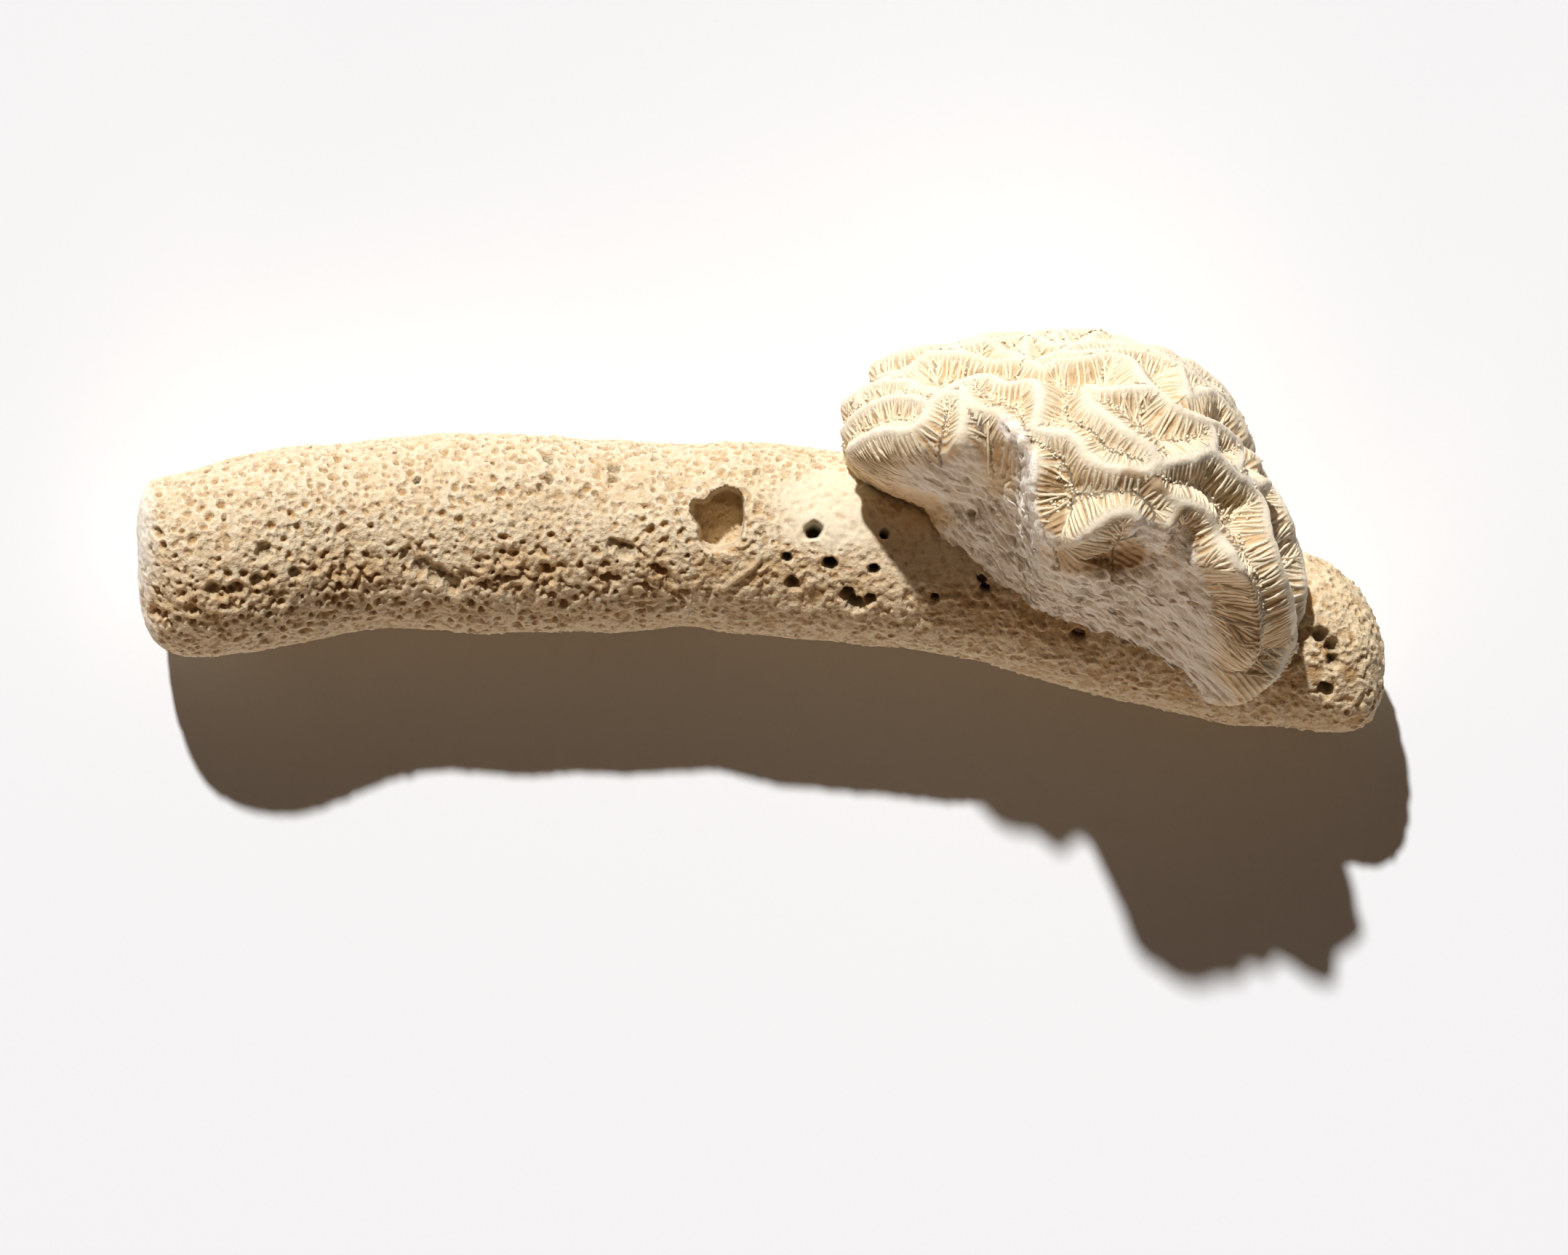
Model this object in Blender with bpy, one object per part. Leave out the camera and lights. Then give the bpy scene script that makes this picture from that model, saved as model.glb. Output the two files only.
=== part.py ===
"""A beach-worn coral skeleton, lying on its side: a pitted branch with a ridged colony grown over one end.

All the tables are in millimetres, and the meshes are made in metres.
The frame: X runs along the branch towards the colony, Z is up, and z = 0 is the surface that it rests on.
The origin is on that surface, under the middle of the whole piece.
"""

import math
import random

import bmesh
import bpy
import numpy as np
from mathutils import Vector, kdtree, noise

MM = 0.001

# Branch: its sections from the broken end to the root end, as (x, y, z, half width, half height)
BRANCH_SECTIONS = (
    (-80, -4.6, 16.2, 11.2, 10.8),
    (-75, -4.2, 15.6, 11.6, 11.2),
    (-65, -2.8, 14.2, 12.7, 12.3),
    (-50, -0.6, 12.1, 12.0, 12.4),
    (-35, -0.4, 12.0, 12.8, 12.6),
    (-20, -0.5, 12.3, 12.2, 12.3),
    (-10, -0.5, 12.8, 11.6, 12.0),
    (0, -1.1, 13.0, 12.3, 12.4),
    (15, -2.5, 12.9, 12.2, 12.4),
    (30, -5.2, 12.5, 12.0, 12.3),
    (45, -9.4, 12.0, 12.0, 12.0),
    (60, -12.9, 11.4, 11.6, 11.7),
    (70, -14.3, 11.6, 11.2, 11.0),
    (80, -18.0, 12.2, 10.8, 11.0),
)
BROKEN_END_X, BROKEN_END_CUT = -79.4, 0.7 * math.pi
BROKEN_END_LENGTHS, BROKEN_END_SQUARENESS = (3.0, 9.0), (3.5, -1.3)
ROOT_END_X, ROOT_END_LENGTH, ROOT_END_SQUARENESS = 79.7, 11.5, 2.4
BROKEN_END_SHARE, ROOT_END_SHARE = 0.08, 0.90
BRANCH_LUMPS = ((15.0, 0.55), (6.0, 0.3))

# Hollows in the top of the branch, as (x, y, radius, depth, points of the outline)
HOLLOWS = (
    (-5.2, 1.4, 4.2, 5.6, 6),
    (6.7, 0.3, 1.2, 3.0, 0),
    (8.8, -4.2, 1.1, 3.0, 0),
    (3.1, -3.3, 0.9, 2.2, 0),
    (4.0, -6.9, 1.2, 2.2, 0),
    (14.3, -4.9, 0.9, 2.6, 0),
    (11.4, -8.7, 1.7, 2.0, 5),
    (13.8, -8.7, 1.2, 1.6, 0),
    (28.6, -7.2, 1.2, 3.0, 0),
    (40.2, -13.2, 1.2, 3.0, 0),
    (-18.8, 7.8, 1.4, 1.6, 4),
    (-27.2, 8.9, 1.0, 1.3, 0),
    (-27.2, 6.5, 0.9, 1.2, 0),
    (-18.2, -2.2, 1.7, 1.2, 5),
    (-43.5, -3.6, 1.8, 1.1, 4),
    (-63.5, -2.6, 1.6, 1.1, 4),
    (-70.0, -7.6, 1.6, 1.2, 5),
    (73.3, -15.9, 1.6, 2.6, 5),
    (72.6, -13.4, 1.1, 2.2, 0),
    (72.3, -20.3, 1.5, 2.2, 4),
    (75.9, -17.3, 1.2, 1.8, 0),
    (77.8, -20.6, 1.4, 1.8, 0),
    (76.3, -12.0, 1.0, 1.4, 0),
)
WORN_PIT_SPACING, WORN_PIT_RADIUS, WORN_PIT_DEPTH = 13.0, 1.9, 0.8

# Colony: the lobes that make up its outer form at crest level, as (centre, radii, turn in degrees)
COLONY_HEART = (38.0, 5.0, 24.0)
LOBES = (
    ((43.5, 4.5, 29.0), (19.5, 19.0, 27.5), -22.0),
    ((26.5, 10.8, 31.5), (16.0, 10.2, 18.0), 12.0),
    ((24.5, 12.0, 22.0), (18.3, 12.4, 14.0), 8.0),
    ((55.8, -6.2, 24.5), (13.2, 16.4, 27.0), 10.0),
    ((41.0, 12.0, 15.5), (21.5, 13.8, 16.5), -6.0),
    ((38.0, -3.0, 21.0), (21.0, 18.0, 18.0), -15.0),
)
LOBE_BLEND = 5.0
SCOOPS = (
    ((52.7, -18.3, 51.4), (14.0, 14.0, 14.0), 0.0),
    ((44.6, -5.6, 45.0), (5.4, 4.0, 4.6), 14.0),
)
SCOOP_BLEND = 1.6

# The steep broken front of the colony, as (x, y at the height of the branch's top, lean back per height)
FRONT_HEIGHT = 24.0
FRONT = (
    (6.0, 8.5, 0.10),
    (12.0, 6.2, 0.15),
    (16.0, 4.0, 0.22),
    (22.0, -0.6, 0.40),
    (28.0, -5.0, 0.62),
    (31.8, -7.8, 0.62),
    (34.6, -9.8, 0.32),
    (38.0, -11.0, 0.31),
    (44.0, -12.8, 0.39),
    (48.0, -14.2, 0.50),
    (52.0, -15.8, 0.50),
    (56.0, -18.6, 0.50),
    (59.0, -22.0, 0.55),
    (62.0, -26.0, 0.50),
    (72.0, -32.0, 0.42),
)
FOOT_SLOPE = 0.57
EDGE_BLEND = 1.0

# Crests of the walls between the valleys, as (x, y) at one height when seen from a point high above
SEEN_FROM = (2.85, -12.3, 1124.0)
SEEN_AT = 12.5
TOP_CRESTS = (
    (
        (10, 9.6), (12, 11.5), (15, 13), (18, 12.9), (20, 14.3), (21.2, 16.5), (23, 17.8), (25.2, 17.7),
        (26.4, 16.4), (28.2, 15.7), (30, 15.3), (31.6, 13.8), (32.6, 12), (34, 10.6), (34.8, 8.8),
        (34.2, 6.6), (33.8, 4.5), (34.2, 2), (34.6, -1),
    ),
    ((25.6, 17), (25.7, 14.5), (25.4, 12)),
    ((9.8, 13), (12, 15.3), (15, 17), (17.5, 17.6), (20, 17), (21.4, 16.6)),
    ((11.8, 16.8), (13, 18.5), (16, 19.5), (18.5, 19.4), (20.5, 18.6), (22.8, 17.9)),
    ((15, 20.2), (18, 21.6), (21, 23.2), (25, 24.2), (29, 24.7), (32, 23.6), (33.6, 22.6)),
    (
        (22.8, 17.9), (24.6, 19.2), (26, 20.2), (28.5, 20.5), (31, 20), (34, 19.7), (35.2, 18.8),
        (35.4, 17), (35, 15), (34.6, 13.2),
    ),
    ((25, 19.4), (26.2, 17.6), (27.2, 16.3), (28.2, 15.7)),
    ((33.6, 22.6), (33.8, 24.6), (35, 25.8), (36.8, 26.2), (38.5, 25.6), (39.6, 24.5)),
    (
        (38.2, 23.4), (40, 24.3), (42.5, 25.6), (44.5, 25.9), (46.8, 25), (49.5, 23.6), (52.5, 22.4),
        (54.3, 20.5), (55, 18.4),
    ),
    (
        (34, 22.4), (36, 22.1), (38.5, 22.3), (41, 22.5), (43.7, 23.1), (46, 22.7), (47.6, 21.8),
        (49, 19.8), (51, 18), (53, 16.2), (55, 15), (57, 14.3), (58.8, 13.8), (60.3, 12.5), (61.7, 11.4),
        (61.9, 9.8), (61.3, 8.2),
    ),
    ((41.2, 18.9), (43, 18.4), (46, 18.6), (49, 18.6), (50.8, 18.1)),
    (
        (41.2, 18.9), (41.3, 17.3), (42.5, 16), (44.5, 14.6), (46.5, 13), (48.5, 11.6), (50, 10.4),
        (50.5, 9.2), (49.8, 8.1), (48, 7.6), (45.5, 7.9), (43, 8.6), (41.2, 9.9), (40.2, 11.5),
        (38.7, 12.6), (36.5, 12.7), (34.6, 13.2),
    ),
    ((57, 14.3), (58.1, 12.8), (58.1, 11.3), (57.6, 10.4), (56, 9.7), (54, 9.2), (52, 8.7), (50.5, 8.4)),
    (
        (57.6, 10.4), (58.8, 9.6), (60.2, 8.1), (61.5, 7), (63, 5.9), (64.3, 4.5), (64.9, 2.5),
        (65.3, 0), (66.2, -2.5), (67, -5), (67.8, -7.5), (68.3, -9.8), (69, -12.5), (68.6, -15.5),
        (67, -18.3), (65, -20.2),
    ),
    ((61.5, 7), (63.5, 6.9), (65.3, 6.4)),
    (
        (50.6, 6), (51.8, 4.8), (53.5, 3.6), (55.5, 3.2), (57.2, 2.3), (58.4, 0.6), (59.5, -1.5),
        (60.6, -3.5), (61.7, -5.5), (62.6, -7.6), (63.1, -9.6), (63.7, -11.5), (63.8, -13.5),
        (63.4, -16), (62.4, -18.5), (61, -20.6), (59, -21.3), (57, -20.9), (55, -19.6),
    ),
    ((54, 3.3), (52.6, 1.2), (51.3, -0.8), (50.2, -2.8)),
    (
        (36.2, -0.8), (37, -2.2), (38.5, -2.7), (40.2, -1.8), (42, -0.1), (44, 1.4), (46, 2.2),
        (47.6, 1.9), (48.6, 0.6),
    ),
    ((55.2, 18.2), (57, 18.5), (58.8, 17.9), (60.3, 16.5), (61.5, 15), (62.5, 13.3), (63.2, 11.5), (64, 9.4)),
)

# Crests on the back of the colony, seen from behind, as (x, z), and on its far end, as (y, z)
BACK_CRESTS = (
    ((10, 28), (15, 31), (21, 29), (26, 32), (31, 36), (36, 34), (41, 37), (47, 35), (53, 34), (60, 30)),
    ((14, 22), (19, 24), (24, 22.5), (29, 26), (34, 25), (38, 29), (43, 27), (49, 28), (55, 25), (62, 22)),
    ((26, 32), (24, 27), (24, 22.5), (22, 17), (25, 12)),
    ((22, 17), (28, 19), (33, 16.5), (38, 20), (43, 18), (48, 20.5), (54, 17.5), (60, 15), (64, 10)),
    ((38, 29), (37, 24), (38, 20), (36, 14), (39, 9)),
    ((25, 12), (30, 9.5), (34, 11.5), (39, 9), (44, 12), (49, 10), (54, 12), (59, 8)),
    ((53, 34), (52, 30), (49, 28)),
    ((54, 17.5), (53, 14.5), (54, 12)),
    ((27, 5), (32, 3.5), (38, 4), (44, 5.5), (50, 3.5), (55, 5)),
)
END_CRESTS = (
    ((10, 30), (6, 26), (2, 28), (-3, 25), (-8, 26), (-12, 21)),
    ((12, 21), (8, 18), (4, 20.5), (0, 17), (-5, 19), (-9, 16)),
    ((14, 12), (9, 10.5), (5, 12.5), (2, 9)),
)
WALL_DEPTH = 4.1
WALL_TOP, WALL_BASE = -0.4, 4.6
CREST_STEP = 0.4
SMOOTH_FOOT = (2.0, 9.0)
SMOOTH_FRONT, SMOOTH_FRONT_HEIGHT = (-15.0, -11.0), (24.0, 32.0)
LOOK_SHARE, LOOK_STEPS = 0.06, 240
FAR_SIDE, REACH, HALVINGS = 90.0, 60.0, 26

# Detail of the finished solids
BRANCH_RINGS, BRANCH_SIDES, BRANCH_TRIANGLES = 250, 120, 3900
COLONY_CUTS, COLONY_TRIANGLES = 110, 4900
COLONY_GAP = 0.35
REST_HEIGHT = 0.0


def clear_scene():
    for obj in list(bpy.data.objects):
        bpy.data.objects.remove(obj, do_unlink=True)


def coral_finish(name, colour):
    material = bpy.data.materials.new(name)
    material.use_nodes = True
    shader = material.node_tree.nodes["Principled BSDF"]
    shader.inputs["Base Color"].default_value = (*colour, 1.0)
    shader.inputs["Roughness"].default_value = 0.9
    shader.inputs["Metallic"].default_value = 0.0
    return material


def smooth_step(low, high, value):
    share = np.clip((value - low) / (high - low), 0.0, 1.0)
    return share * share * (3 - 2 * share)


def rounded_path(points, step):
    """Points every step or so along a Catmull-Rom curve through the given ones."""
    points = [Vector(p) for p in points]
    ends = [2 * points[0] - points[1], *points, 2 * points[-1] - points[-2]]
    path = []
    for before, start, end, after in zip(ends, ends[1:], ends[2:], ends[3:]):
        count = max(1, round((end - start).length / step))
        for i in range(count):
            t = i / count
            path.append(
                0.5
                * (
                    2 * start
                    + (end - before) * t
                    + (2 * before - 5 * start + 4 * end - after) * t**2
                    + (3 * start - before - 3 * end + after) * t**3
                )
            )
    path.append(points[-1])
    return np.array(path)


def noise_at(points, size, seed):
    """Smooth noise between about -1 and 1, with lumps of about the given size."""
    shift = Vector((seed * 17.3, seed * 5.1, seed * 9.7))
    return np.array([noise.noise(Vector(p) / size + shift) for p in points])


def point_tree(points):
    tree = kdtree.KDTree(len(points))
    for i, p in enumerate(points):
        tree.insert(p, i)
    tree.balance()
    return tree


def finish_object(name, mesh, material):
    obj = bpy.data.objects.new(name, mesh)
    bpy.context.scene.collection.objects.link(obj)
    mesh.materials.clear()
    mesh.materials.append(material)
    mesh.shade_smooth()
    return obj


def mesh_from(builder, name):
    bm = bmesh.new()
    builder(bm)
    mesh = bpy.data.meshes.new(name)
    bm.to_mesh(mesh)
    bm.free()
    return mesh


def vertex_array(mesh, what="co"):
    values = np.empty(len(mesh.vertices) * 3, np.float32)
    mesh.vertices.foreach_get(what, values)
    return values.reshape(-1, 3).astype(float)


def set_vertices(mesh, points):
    mesh.vertices.foreach_set("co", points.astype(np.float32).ravel())
    mesh.update()


def evaluated_copy(obj):
    """A mesh with the object's modifiers applied."""
    graph = bpy.context.evaluated_depsgraph_get()
    return bpy.data.meshes.new_from_object(obj.evaluated_get(graph))


def reduced(mesh, triangles):
    """The mesh with about that many triangles, kept where the surface bends most."""
    obj = bpy.data.objects.new("fine_form", mesh)
    bpy.context.scene.collection.objects.link(obj)
    modifier = obj.modifiers.new("reduce", "DECIMATE")
    modifier.ratio = triangles / sum(len(face.vertices) - 2 for face in mesh.polygons)
    modifier.use_collapse_triangulate = True
    bpy.context.view_layer.update()
    light = evaluated_copy(obj)
    bpy.data.objects.remove(obj)
    return light


def flattened_foot(mesh):
    """Worn flat where it would reach below the surface that it rests on."""
    points = vertex_array(mesh)
    points[:, 2] = np.maximum(points[:, 2], REST_HEIGHT)
    set_vertices(mesh, points)


# Branch
def section_at(x):
    """(y, z, half width, half height) of the branch at each x."""
    table = np.array(BRANCH_SECTIONS, float)
    path = rounded_path([row[:3] for row in table], 1.0)
    sizes = rounded_path([(row[0], row[3], row[4]) for row in table], 1.0)
    return (
        np.interp(x, path[:, 0], path[:, 1]),
        np.interp(x, path[:, 0], path[:, 2]),
        np.interp(x, sizes[:, 0], sizes[:, 1]),
        np.interp(x, sizes[:, 0], sizes[:, 2]),
    )


def broken_end(around):
    """(length, squareness) of the broken end on each side, where it is cut back most at its upper front."""
    cut = np.maximum(0, np.cos(around - BROKEN_END_CUT))
    return [plain + more * cut for plain, more in (BROKEN_END_LENGTHS, BROKEN_END_SQUARENESS)]


def end_cap(share, tip, length, squareness):
    """(x, size of the section) at a share of the way from the tip of an end to its rim."""
    angle = share * math.pi / 2
    reach = np.power(np.cos(angle), 2 / squareness)
    size = np.power(np.sin(angle), 2 / squareness)
    rim = tip + length
    return rim - length * reach, size


def branch_surface(along, around):
    """Points of the plain branch, from its shares along the profile and its angles around the axis."""
    left, right = BROKEN_END_SHARE, ROOT_END_SHARE
    length, squareness = broken_end(around)
    start = BROKEN_END_X + length
    x = start + (along - left) / (right - left) * (ROOT_END_X - ROOT_END_LENGTH - start)
    size = np.ones_like(along)
    broken, root = along < left, along > right
    x[broken], size[broken] = end_cap(
        along[broken] / left, BROKEN_END_X, length[broken], squareness[broken]
    )
    x[root], size[root] = end_cap(
        (1 - along[root]) / (1 - right), ROOT_END_X, -ROOT_END_LENGTH, ROOT_END_SQUARENESS
    )
    y, z, half_width, half_height = section_at(x)
    across = y + half_width * size * np.cos(around)
    up = z + half_height * size * np.sin(around)
    return np.stack((x, across, up), axis=1)


def top_of_branch(x, y):
    """The point of the branch's upper side over (x, y)."""
    centre_y, centre_z, half_width, half_height = section_at(np.array([float(x)]))
    share = float(np.clip((y - centre_y[0]) / half_width[0], -1, 1))
    return Vector((x, y, centre_z[0] + half_height[0] * math.sqrt(1 - share * share)))


def plain_branch(rings, sides):
    """The branch's mesh before its lumps and hollows, in millimetres."""
    mesh = mesh_from(
        lambda bm: bmesh.ops.create_uvsphere(bm, u_segments=sides, v_segments=rings, radius=1), "branch"
    )
    unit = vertex_array(mesh)
    along = 1 - np.arccos(np.clip(unit[:, 2], -1, 1)) / math.pi
    around = np.arctan2(unit[:, 1], unit[:, 0])
    set_vertices(mesh, branch_surface(along, around))
    return mesh


def worn_pit_places(spacing):
    """Places of the larger worn pits, spread unevenly over the branch's sides."""
    rng = random.Random(11)
    places = []
    x = BROKEN_END_X + spacing
    while x < ROOT_END_X - spacing:
        centre_y, centre_z, half_width, half_height = (v[0] for v in section_at(np.array([x])))
        count = round(2 * math.pi * half_width / spacing)
        turn = rng.uniform(0, 2 * math.pi)
        for i in range(count):
            angle = turn + (i + rng.uniform(-0.3, 0.3)) * 2 * math.pi / count
            place = Vector(
                (x + rng.uniform(-0.4, 0.4) * spacing, centre_y + half_width * math.cos(angle),
                 centre_z + half_height * math.sin(angle))
            )
            radius = WORN_PIT_RADIUS * rng.uniform(0.7, 1.15)
            places.append((place, radius, WORN_PIT_DEPTH, rng.choice((0, 4, 5))))
        x += spacing * 0.8
    return places


def sink_hollows(points, normals, hollows):
    """Pushes the surface in at each hollow, whose outline is round or has blunt points."""
    tree = point_tree(points)
    sunk = np.zeros(len(points))
    for centre, radius, depth, corners in hollows:
        found = tree.find_range(centre, radius * 1.35)
        for place, i, distance in found:
            offset = place - centre
            angle = math.atan2(offset.y, offset.x)
            edge = radius * (1 + (0.13 * math.cos(corners * angle + centre.x) if corners else 0))
            share = min(1.0, distance / edge)
            sunk[i] = max(sunk[i], depth * (1 - share**4))
    return points - normals * sunk[:, None]


def make_branch(material):
    mesh = plain_branch(BRANCH_RINGS, BRANCH_SIDES)
    points, normals = vertex_array(mesh), vertex_array(mesh, "normal")
    for seed, (size, height) in enumerate(BRANCH_LUMPS):
        points += normals * (height * noise_at(points, size, seed))[:, None]
    named = [(top_of_branch(x, y), radius, depth, corners) for x, y, radius, depth, corners in HOLLOWS]
    points = sink_hollows(points, normals, named + worn_pit_places(WORN_PIT_SPACING))
    set_vertices(mesh, points)
    light = reduced(mesh, BRANCH_TRIANGLES)
    flattened_foot(light)
    light.transform(((MM, 0, 0, 0), (0, MM, 0, 0), (0, 0, MM, 0), (0, 0, 0, 1)))
    return finish_object("branch", light, material)


# Colony
def soft_least(a, b, blend):
    share = np.clip(0.5 + 0.5 * (b - a) / blend, 0, 1)
    return b * (1 - share) + a * share - blend * share * (1 - share)


def soft_most(a, b, blend):
    return -soft_least(-a, -b, blend)


def outside_lobe(points, centre, radii, turn):
    """Roughly how far outside one lobe each point is."""
    c, s = math.cos(math.radians(turn)), math.sin(math.radians(turn))
    away = points - np.array(centre)
    local = np.stack((away[:, 0] * c + away[:, 1] * s, away[:, 1] * c - away[:, 0] * s, away[:, 2]), axis=1)
    scaled = np.linalg.norm(local / radii, axis=1)
    slope = np.linalg.norm(local / np.square(radii), axis=1)
    return scaled * (scaled - 1) / np.maximum(slope, 1e-9)


def outside_lobes(points):
    distance = outside_lobe(points, *LOBES[0])
    for lobe in LOBES[1:]:
        distance = soft_least(distance, outside_lobe(points, *lobe), LOBE_BLEND)
    return distance


def outside_front(points):
    """Roughly how far in front of the broken face, or below the edge on the branch, each point is."""
    table = np.array(FRONT, float)
    base = np.interp(points[:, 0], table[:, 0], table[:, 1])
    lean = np.interp(points[:, 0], table[:, 0], table[:, 2])
    face = (base + lean * (points[:, 2] - FRONT_HEIGHT) - points[:, 1]) / np.sqrt(1 + lean**2)
    y, z, _, _ = section_at(points[:, 0])
    foot = -((points[:, 2] - z) + FOOT_SLOPE * (points[:, 1] - y)) / math.hypot(1, FOOT_SLOPE)
    distance = soft_most(face, foot, EDGE_BLEND)
    for scoop in SCOOPS:
        distance = soft_most(distance, -outside_lobe(points, *scoop), SCOOP_BLEND)
    return distance


def valley_depth(points, distance, deepest):
    """How deep the surface lies below the crests, from its distance to the nearest one."""
    depth = deepest * smooth_step(WALL_TOP, WALL_BASE, distance)
    in_front = 1 - smooth_step(*SMOOTH_FRONT, points[:, 1])
    low = 1 - smooth_step(*SMOOTH_FRONT_HEIGHT, points[:, 2])
    return depth * smooth_step(*SMOOTH_FOOT, points[:, 2]) * (1 - in_front * low)


def first_outside(start, direction, reach, outside):
    """How far along each line from start the solid ends."""
    low, high = np.zeros(len(direction)), np.full(len(direction), float(reach))
    for _ in range(HALVINGS):
        middle = (low + high) / 2
        beyond = outside(start + direction * middle[:, None]) > 0
        high = np.where(beyond, middle, high)
        low = np.where(beyond, low, middle)
    return low


def slope_of(outside, points):
    """Unit directions in which points leave the solid."""
    steps = np.eye(3) * 0.05
    slope = np.stack([outside(points + step) - outside(points - step) for step in steps], axis=1)
    return slope / np.linalg.norm(slope, axis=1)[:, None]


def drape(start, end):
    """The first points on the lobes along lines from start to end, or the nearest ones beside them."""
    heart = np.array(COLONY_HEART)
    line = start[:, None, :] + (end - start)[:, None, :] * np.linspace(0, 1, LOOK_STEPS)[None, :, None]
    outside = outside_lobes(line.reshape(-1, 3)).reshape(line.shape[:2])
    nearest = outside.argmin(axis=1)
    first = (outside < 0).argmax(axis=1)
    index = np.where(outside.min(axis=1) < 0, first, nearest)
    seed = line[np.arange(len(line)), index]
    direction = seed - heart
    direction /= np.linalg.norm(direction, axis=1)[:, None]
    snapped = heart + direction * first_outside(heart, direction, REACH, outside_lobes)[:, None]
    hit = outside.min(axis=1) < 0
    return np.where(hit[:, None], seed, snapped)


def crest_points():
    """Points along every crest, on the lobes, and the way that the crest's wall stands at each."""
    lines = []
    eye = np.array(SEEN_FROM)
    for crest in TOP_CRESTS:
        seen = rounded_path([(*point, SEEN_AT) for point in crest], CREST_STEP)
        lines.append(drape(seen + (eye - seen) * LOOK_SHARE, seen))
    for crests, axis in ((BACK_CRESTS, 1), (END_CRESTS, 0)):
        for crest in crests:
            flat = rounded_path([(*point, 0) for point in crest], CREST_STEP)[:, :2]
            start, end = (np.insert(flat, axis, value, axis=1) for value in (FAR_SIDE, 0.0))
            lines.append(drape(start, end))
    points = np.concatenate(lines)
    return points, slope_of(outside_lobes, points)


def distance_to_crests(points, crests, upright):
    """The sideways distance to the nearest crest, measured across the way the crest's wall stands."""
    tree = point_tree(crests)
    index = np.array([tree.find(p)[1] for p in points])
    away, up = points - crests[index], upright[index]
    away -= np.sum(away * up, axis=1)[:, None] * up
    return np.linalg.norm(away, axis=1)


def colony_surface(direction, crests, upright):
    """Points of the ridged colony along each direction from its heart."""
    heart = np.array(COLONY_HEART)
    points = heart + direction * first_outside(heart, direction, REACH, outside_lobes)[:, None]
    for _ in range(3):
        distance = distance_to_crests(points, crests, upright)
        depth = valley_depth(points, distance, WALL_DEPTH)

        def outside(p, depth=depth):
            return soft_most(outside_lobes(p) + depth, outside_front(p), EDGE_BLEND)

        points = heart + direction * first_outside(heart, direction, REACH, outside)[:, None]
    return points


def ball_of_squares(bm):
    bmesh.ops.create_cube(bm, size=2)
    bmesh.ops.subdivide_edges(bm, edges=bm.edges[:], cuts=COLONY_CUTS, use_grid_fill=True)


def unit_directions(cube_points):
    """Directions to points of a cube's grid, evened out over the ball."""
    eased = np.tan(cube_points * math.pi / 4)
    return eased / np.linalg.norm(eased, axis=1)[:, None]


def branch_cutter():
    """The branch without its hollows, a little larger, to leave the colony its seat."""
    mesh = plain_branch(90, 48)
    points, normals = vertex_array(mesh), vertex_array(mesh, "normal")
    for seed, (size, height) in enumerate(BRANCH_LUMPS):
        points += normals * (height * noise_at(points, size, seed))[:, None]
    set_vertices(mesh, (points + normals * COLONY_GAP) * MM)
    cutter = bpy.data.objects.new("branch_seat", mesh)
    bpy.context.scene.collection.objects.link(cutter)
    cutter.hide_render = True
    cutter.display_type = "WIRE"
    return cutter


def make_colony(material):
    mesh = mesh_from(ball_of_squares, "colony")
    points = colony_surface(unit_directions(vertex_array(mesh)), *crest_points())
    set_vertices(mesh, points)
    light = reduced(mesh, COLONY_TRIANGLES)
    flattened_foot(light)
    light.transform(((MM, 0, 0, 0), (0, MM, 0, 0), (0, 0, MM, 0), (0, 0, 0, 1)))
    colony = finish_object("colony", light, material)
    seat = colony.modifiers.new("seat", "BOOLEAN")
    seat.operation = "DIFFERENCE"
    seat.solver = "EXACT"
    seat.object = branch_cutter()
    return colony


def main():
    clear_scene()
    make_branch(coral_finish("worn_coral", (0.80, 0.69, 0.50)))
    make_colony(coral_finish("ridged_coral", (0.88, 0.79, 0.62)))


main()
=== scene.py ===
"""Looks of a dry coral skeleton: a worn, pitted branch with a ridged colony grown over one end.

The tables are in millimetres, in the model's own frame, and the meshes are made in metres.
"""

import math

import bmesh
import bpy
import numpy as np
from bpy.props import FloatProperty, FloatVectorProperty, PointerProperty
from mathutils import Matrix, Vector, bvhtree, kdtree, noise


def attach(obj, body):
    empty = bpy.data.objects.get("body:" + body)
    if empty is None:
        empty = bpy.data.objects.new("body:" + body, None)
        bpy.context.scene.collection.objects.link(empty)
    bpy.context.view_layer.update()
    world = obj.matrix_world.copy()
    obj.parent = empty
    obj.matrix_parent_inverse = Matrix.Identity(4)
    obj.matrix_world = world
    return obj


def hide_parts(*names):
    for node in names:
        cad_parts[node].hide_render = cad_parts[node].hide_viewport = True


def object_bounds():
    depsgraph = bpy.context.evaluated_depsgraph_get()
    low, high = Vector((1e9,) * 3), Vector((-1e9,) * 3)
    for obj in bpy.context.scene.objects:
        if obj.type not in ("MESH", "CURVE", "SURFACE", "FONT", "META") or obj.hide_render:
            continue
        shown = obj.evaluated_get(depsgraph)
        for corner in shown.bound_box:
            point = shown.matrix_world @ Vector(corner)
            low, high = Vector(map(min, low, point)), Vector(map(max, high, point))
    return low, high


bl_info = {
    "name": "Ridged Coral Skeleton",
    "version": (1, 0, 0),
    "blender": (4, 5, 0),
    "location": "3D Viewport > Sidebar > Coral",
    "description": "Builds a worn coral branch with a ridged colony grown over one end",
    "category": "Add Mesh",
}

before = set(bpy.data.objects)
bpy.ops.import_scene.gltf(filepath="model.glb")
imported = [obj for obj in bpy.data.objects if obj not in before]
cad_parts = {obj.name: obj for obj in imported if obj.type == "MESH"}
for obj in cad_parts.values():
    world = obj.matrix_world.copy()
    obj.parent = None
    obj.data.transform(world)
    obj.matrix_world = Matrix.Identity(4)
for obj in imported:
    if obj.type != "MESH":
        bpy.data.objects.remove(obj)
CAD_BOX = [list(corner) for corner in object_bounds()]

MM = 0.001

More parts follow.
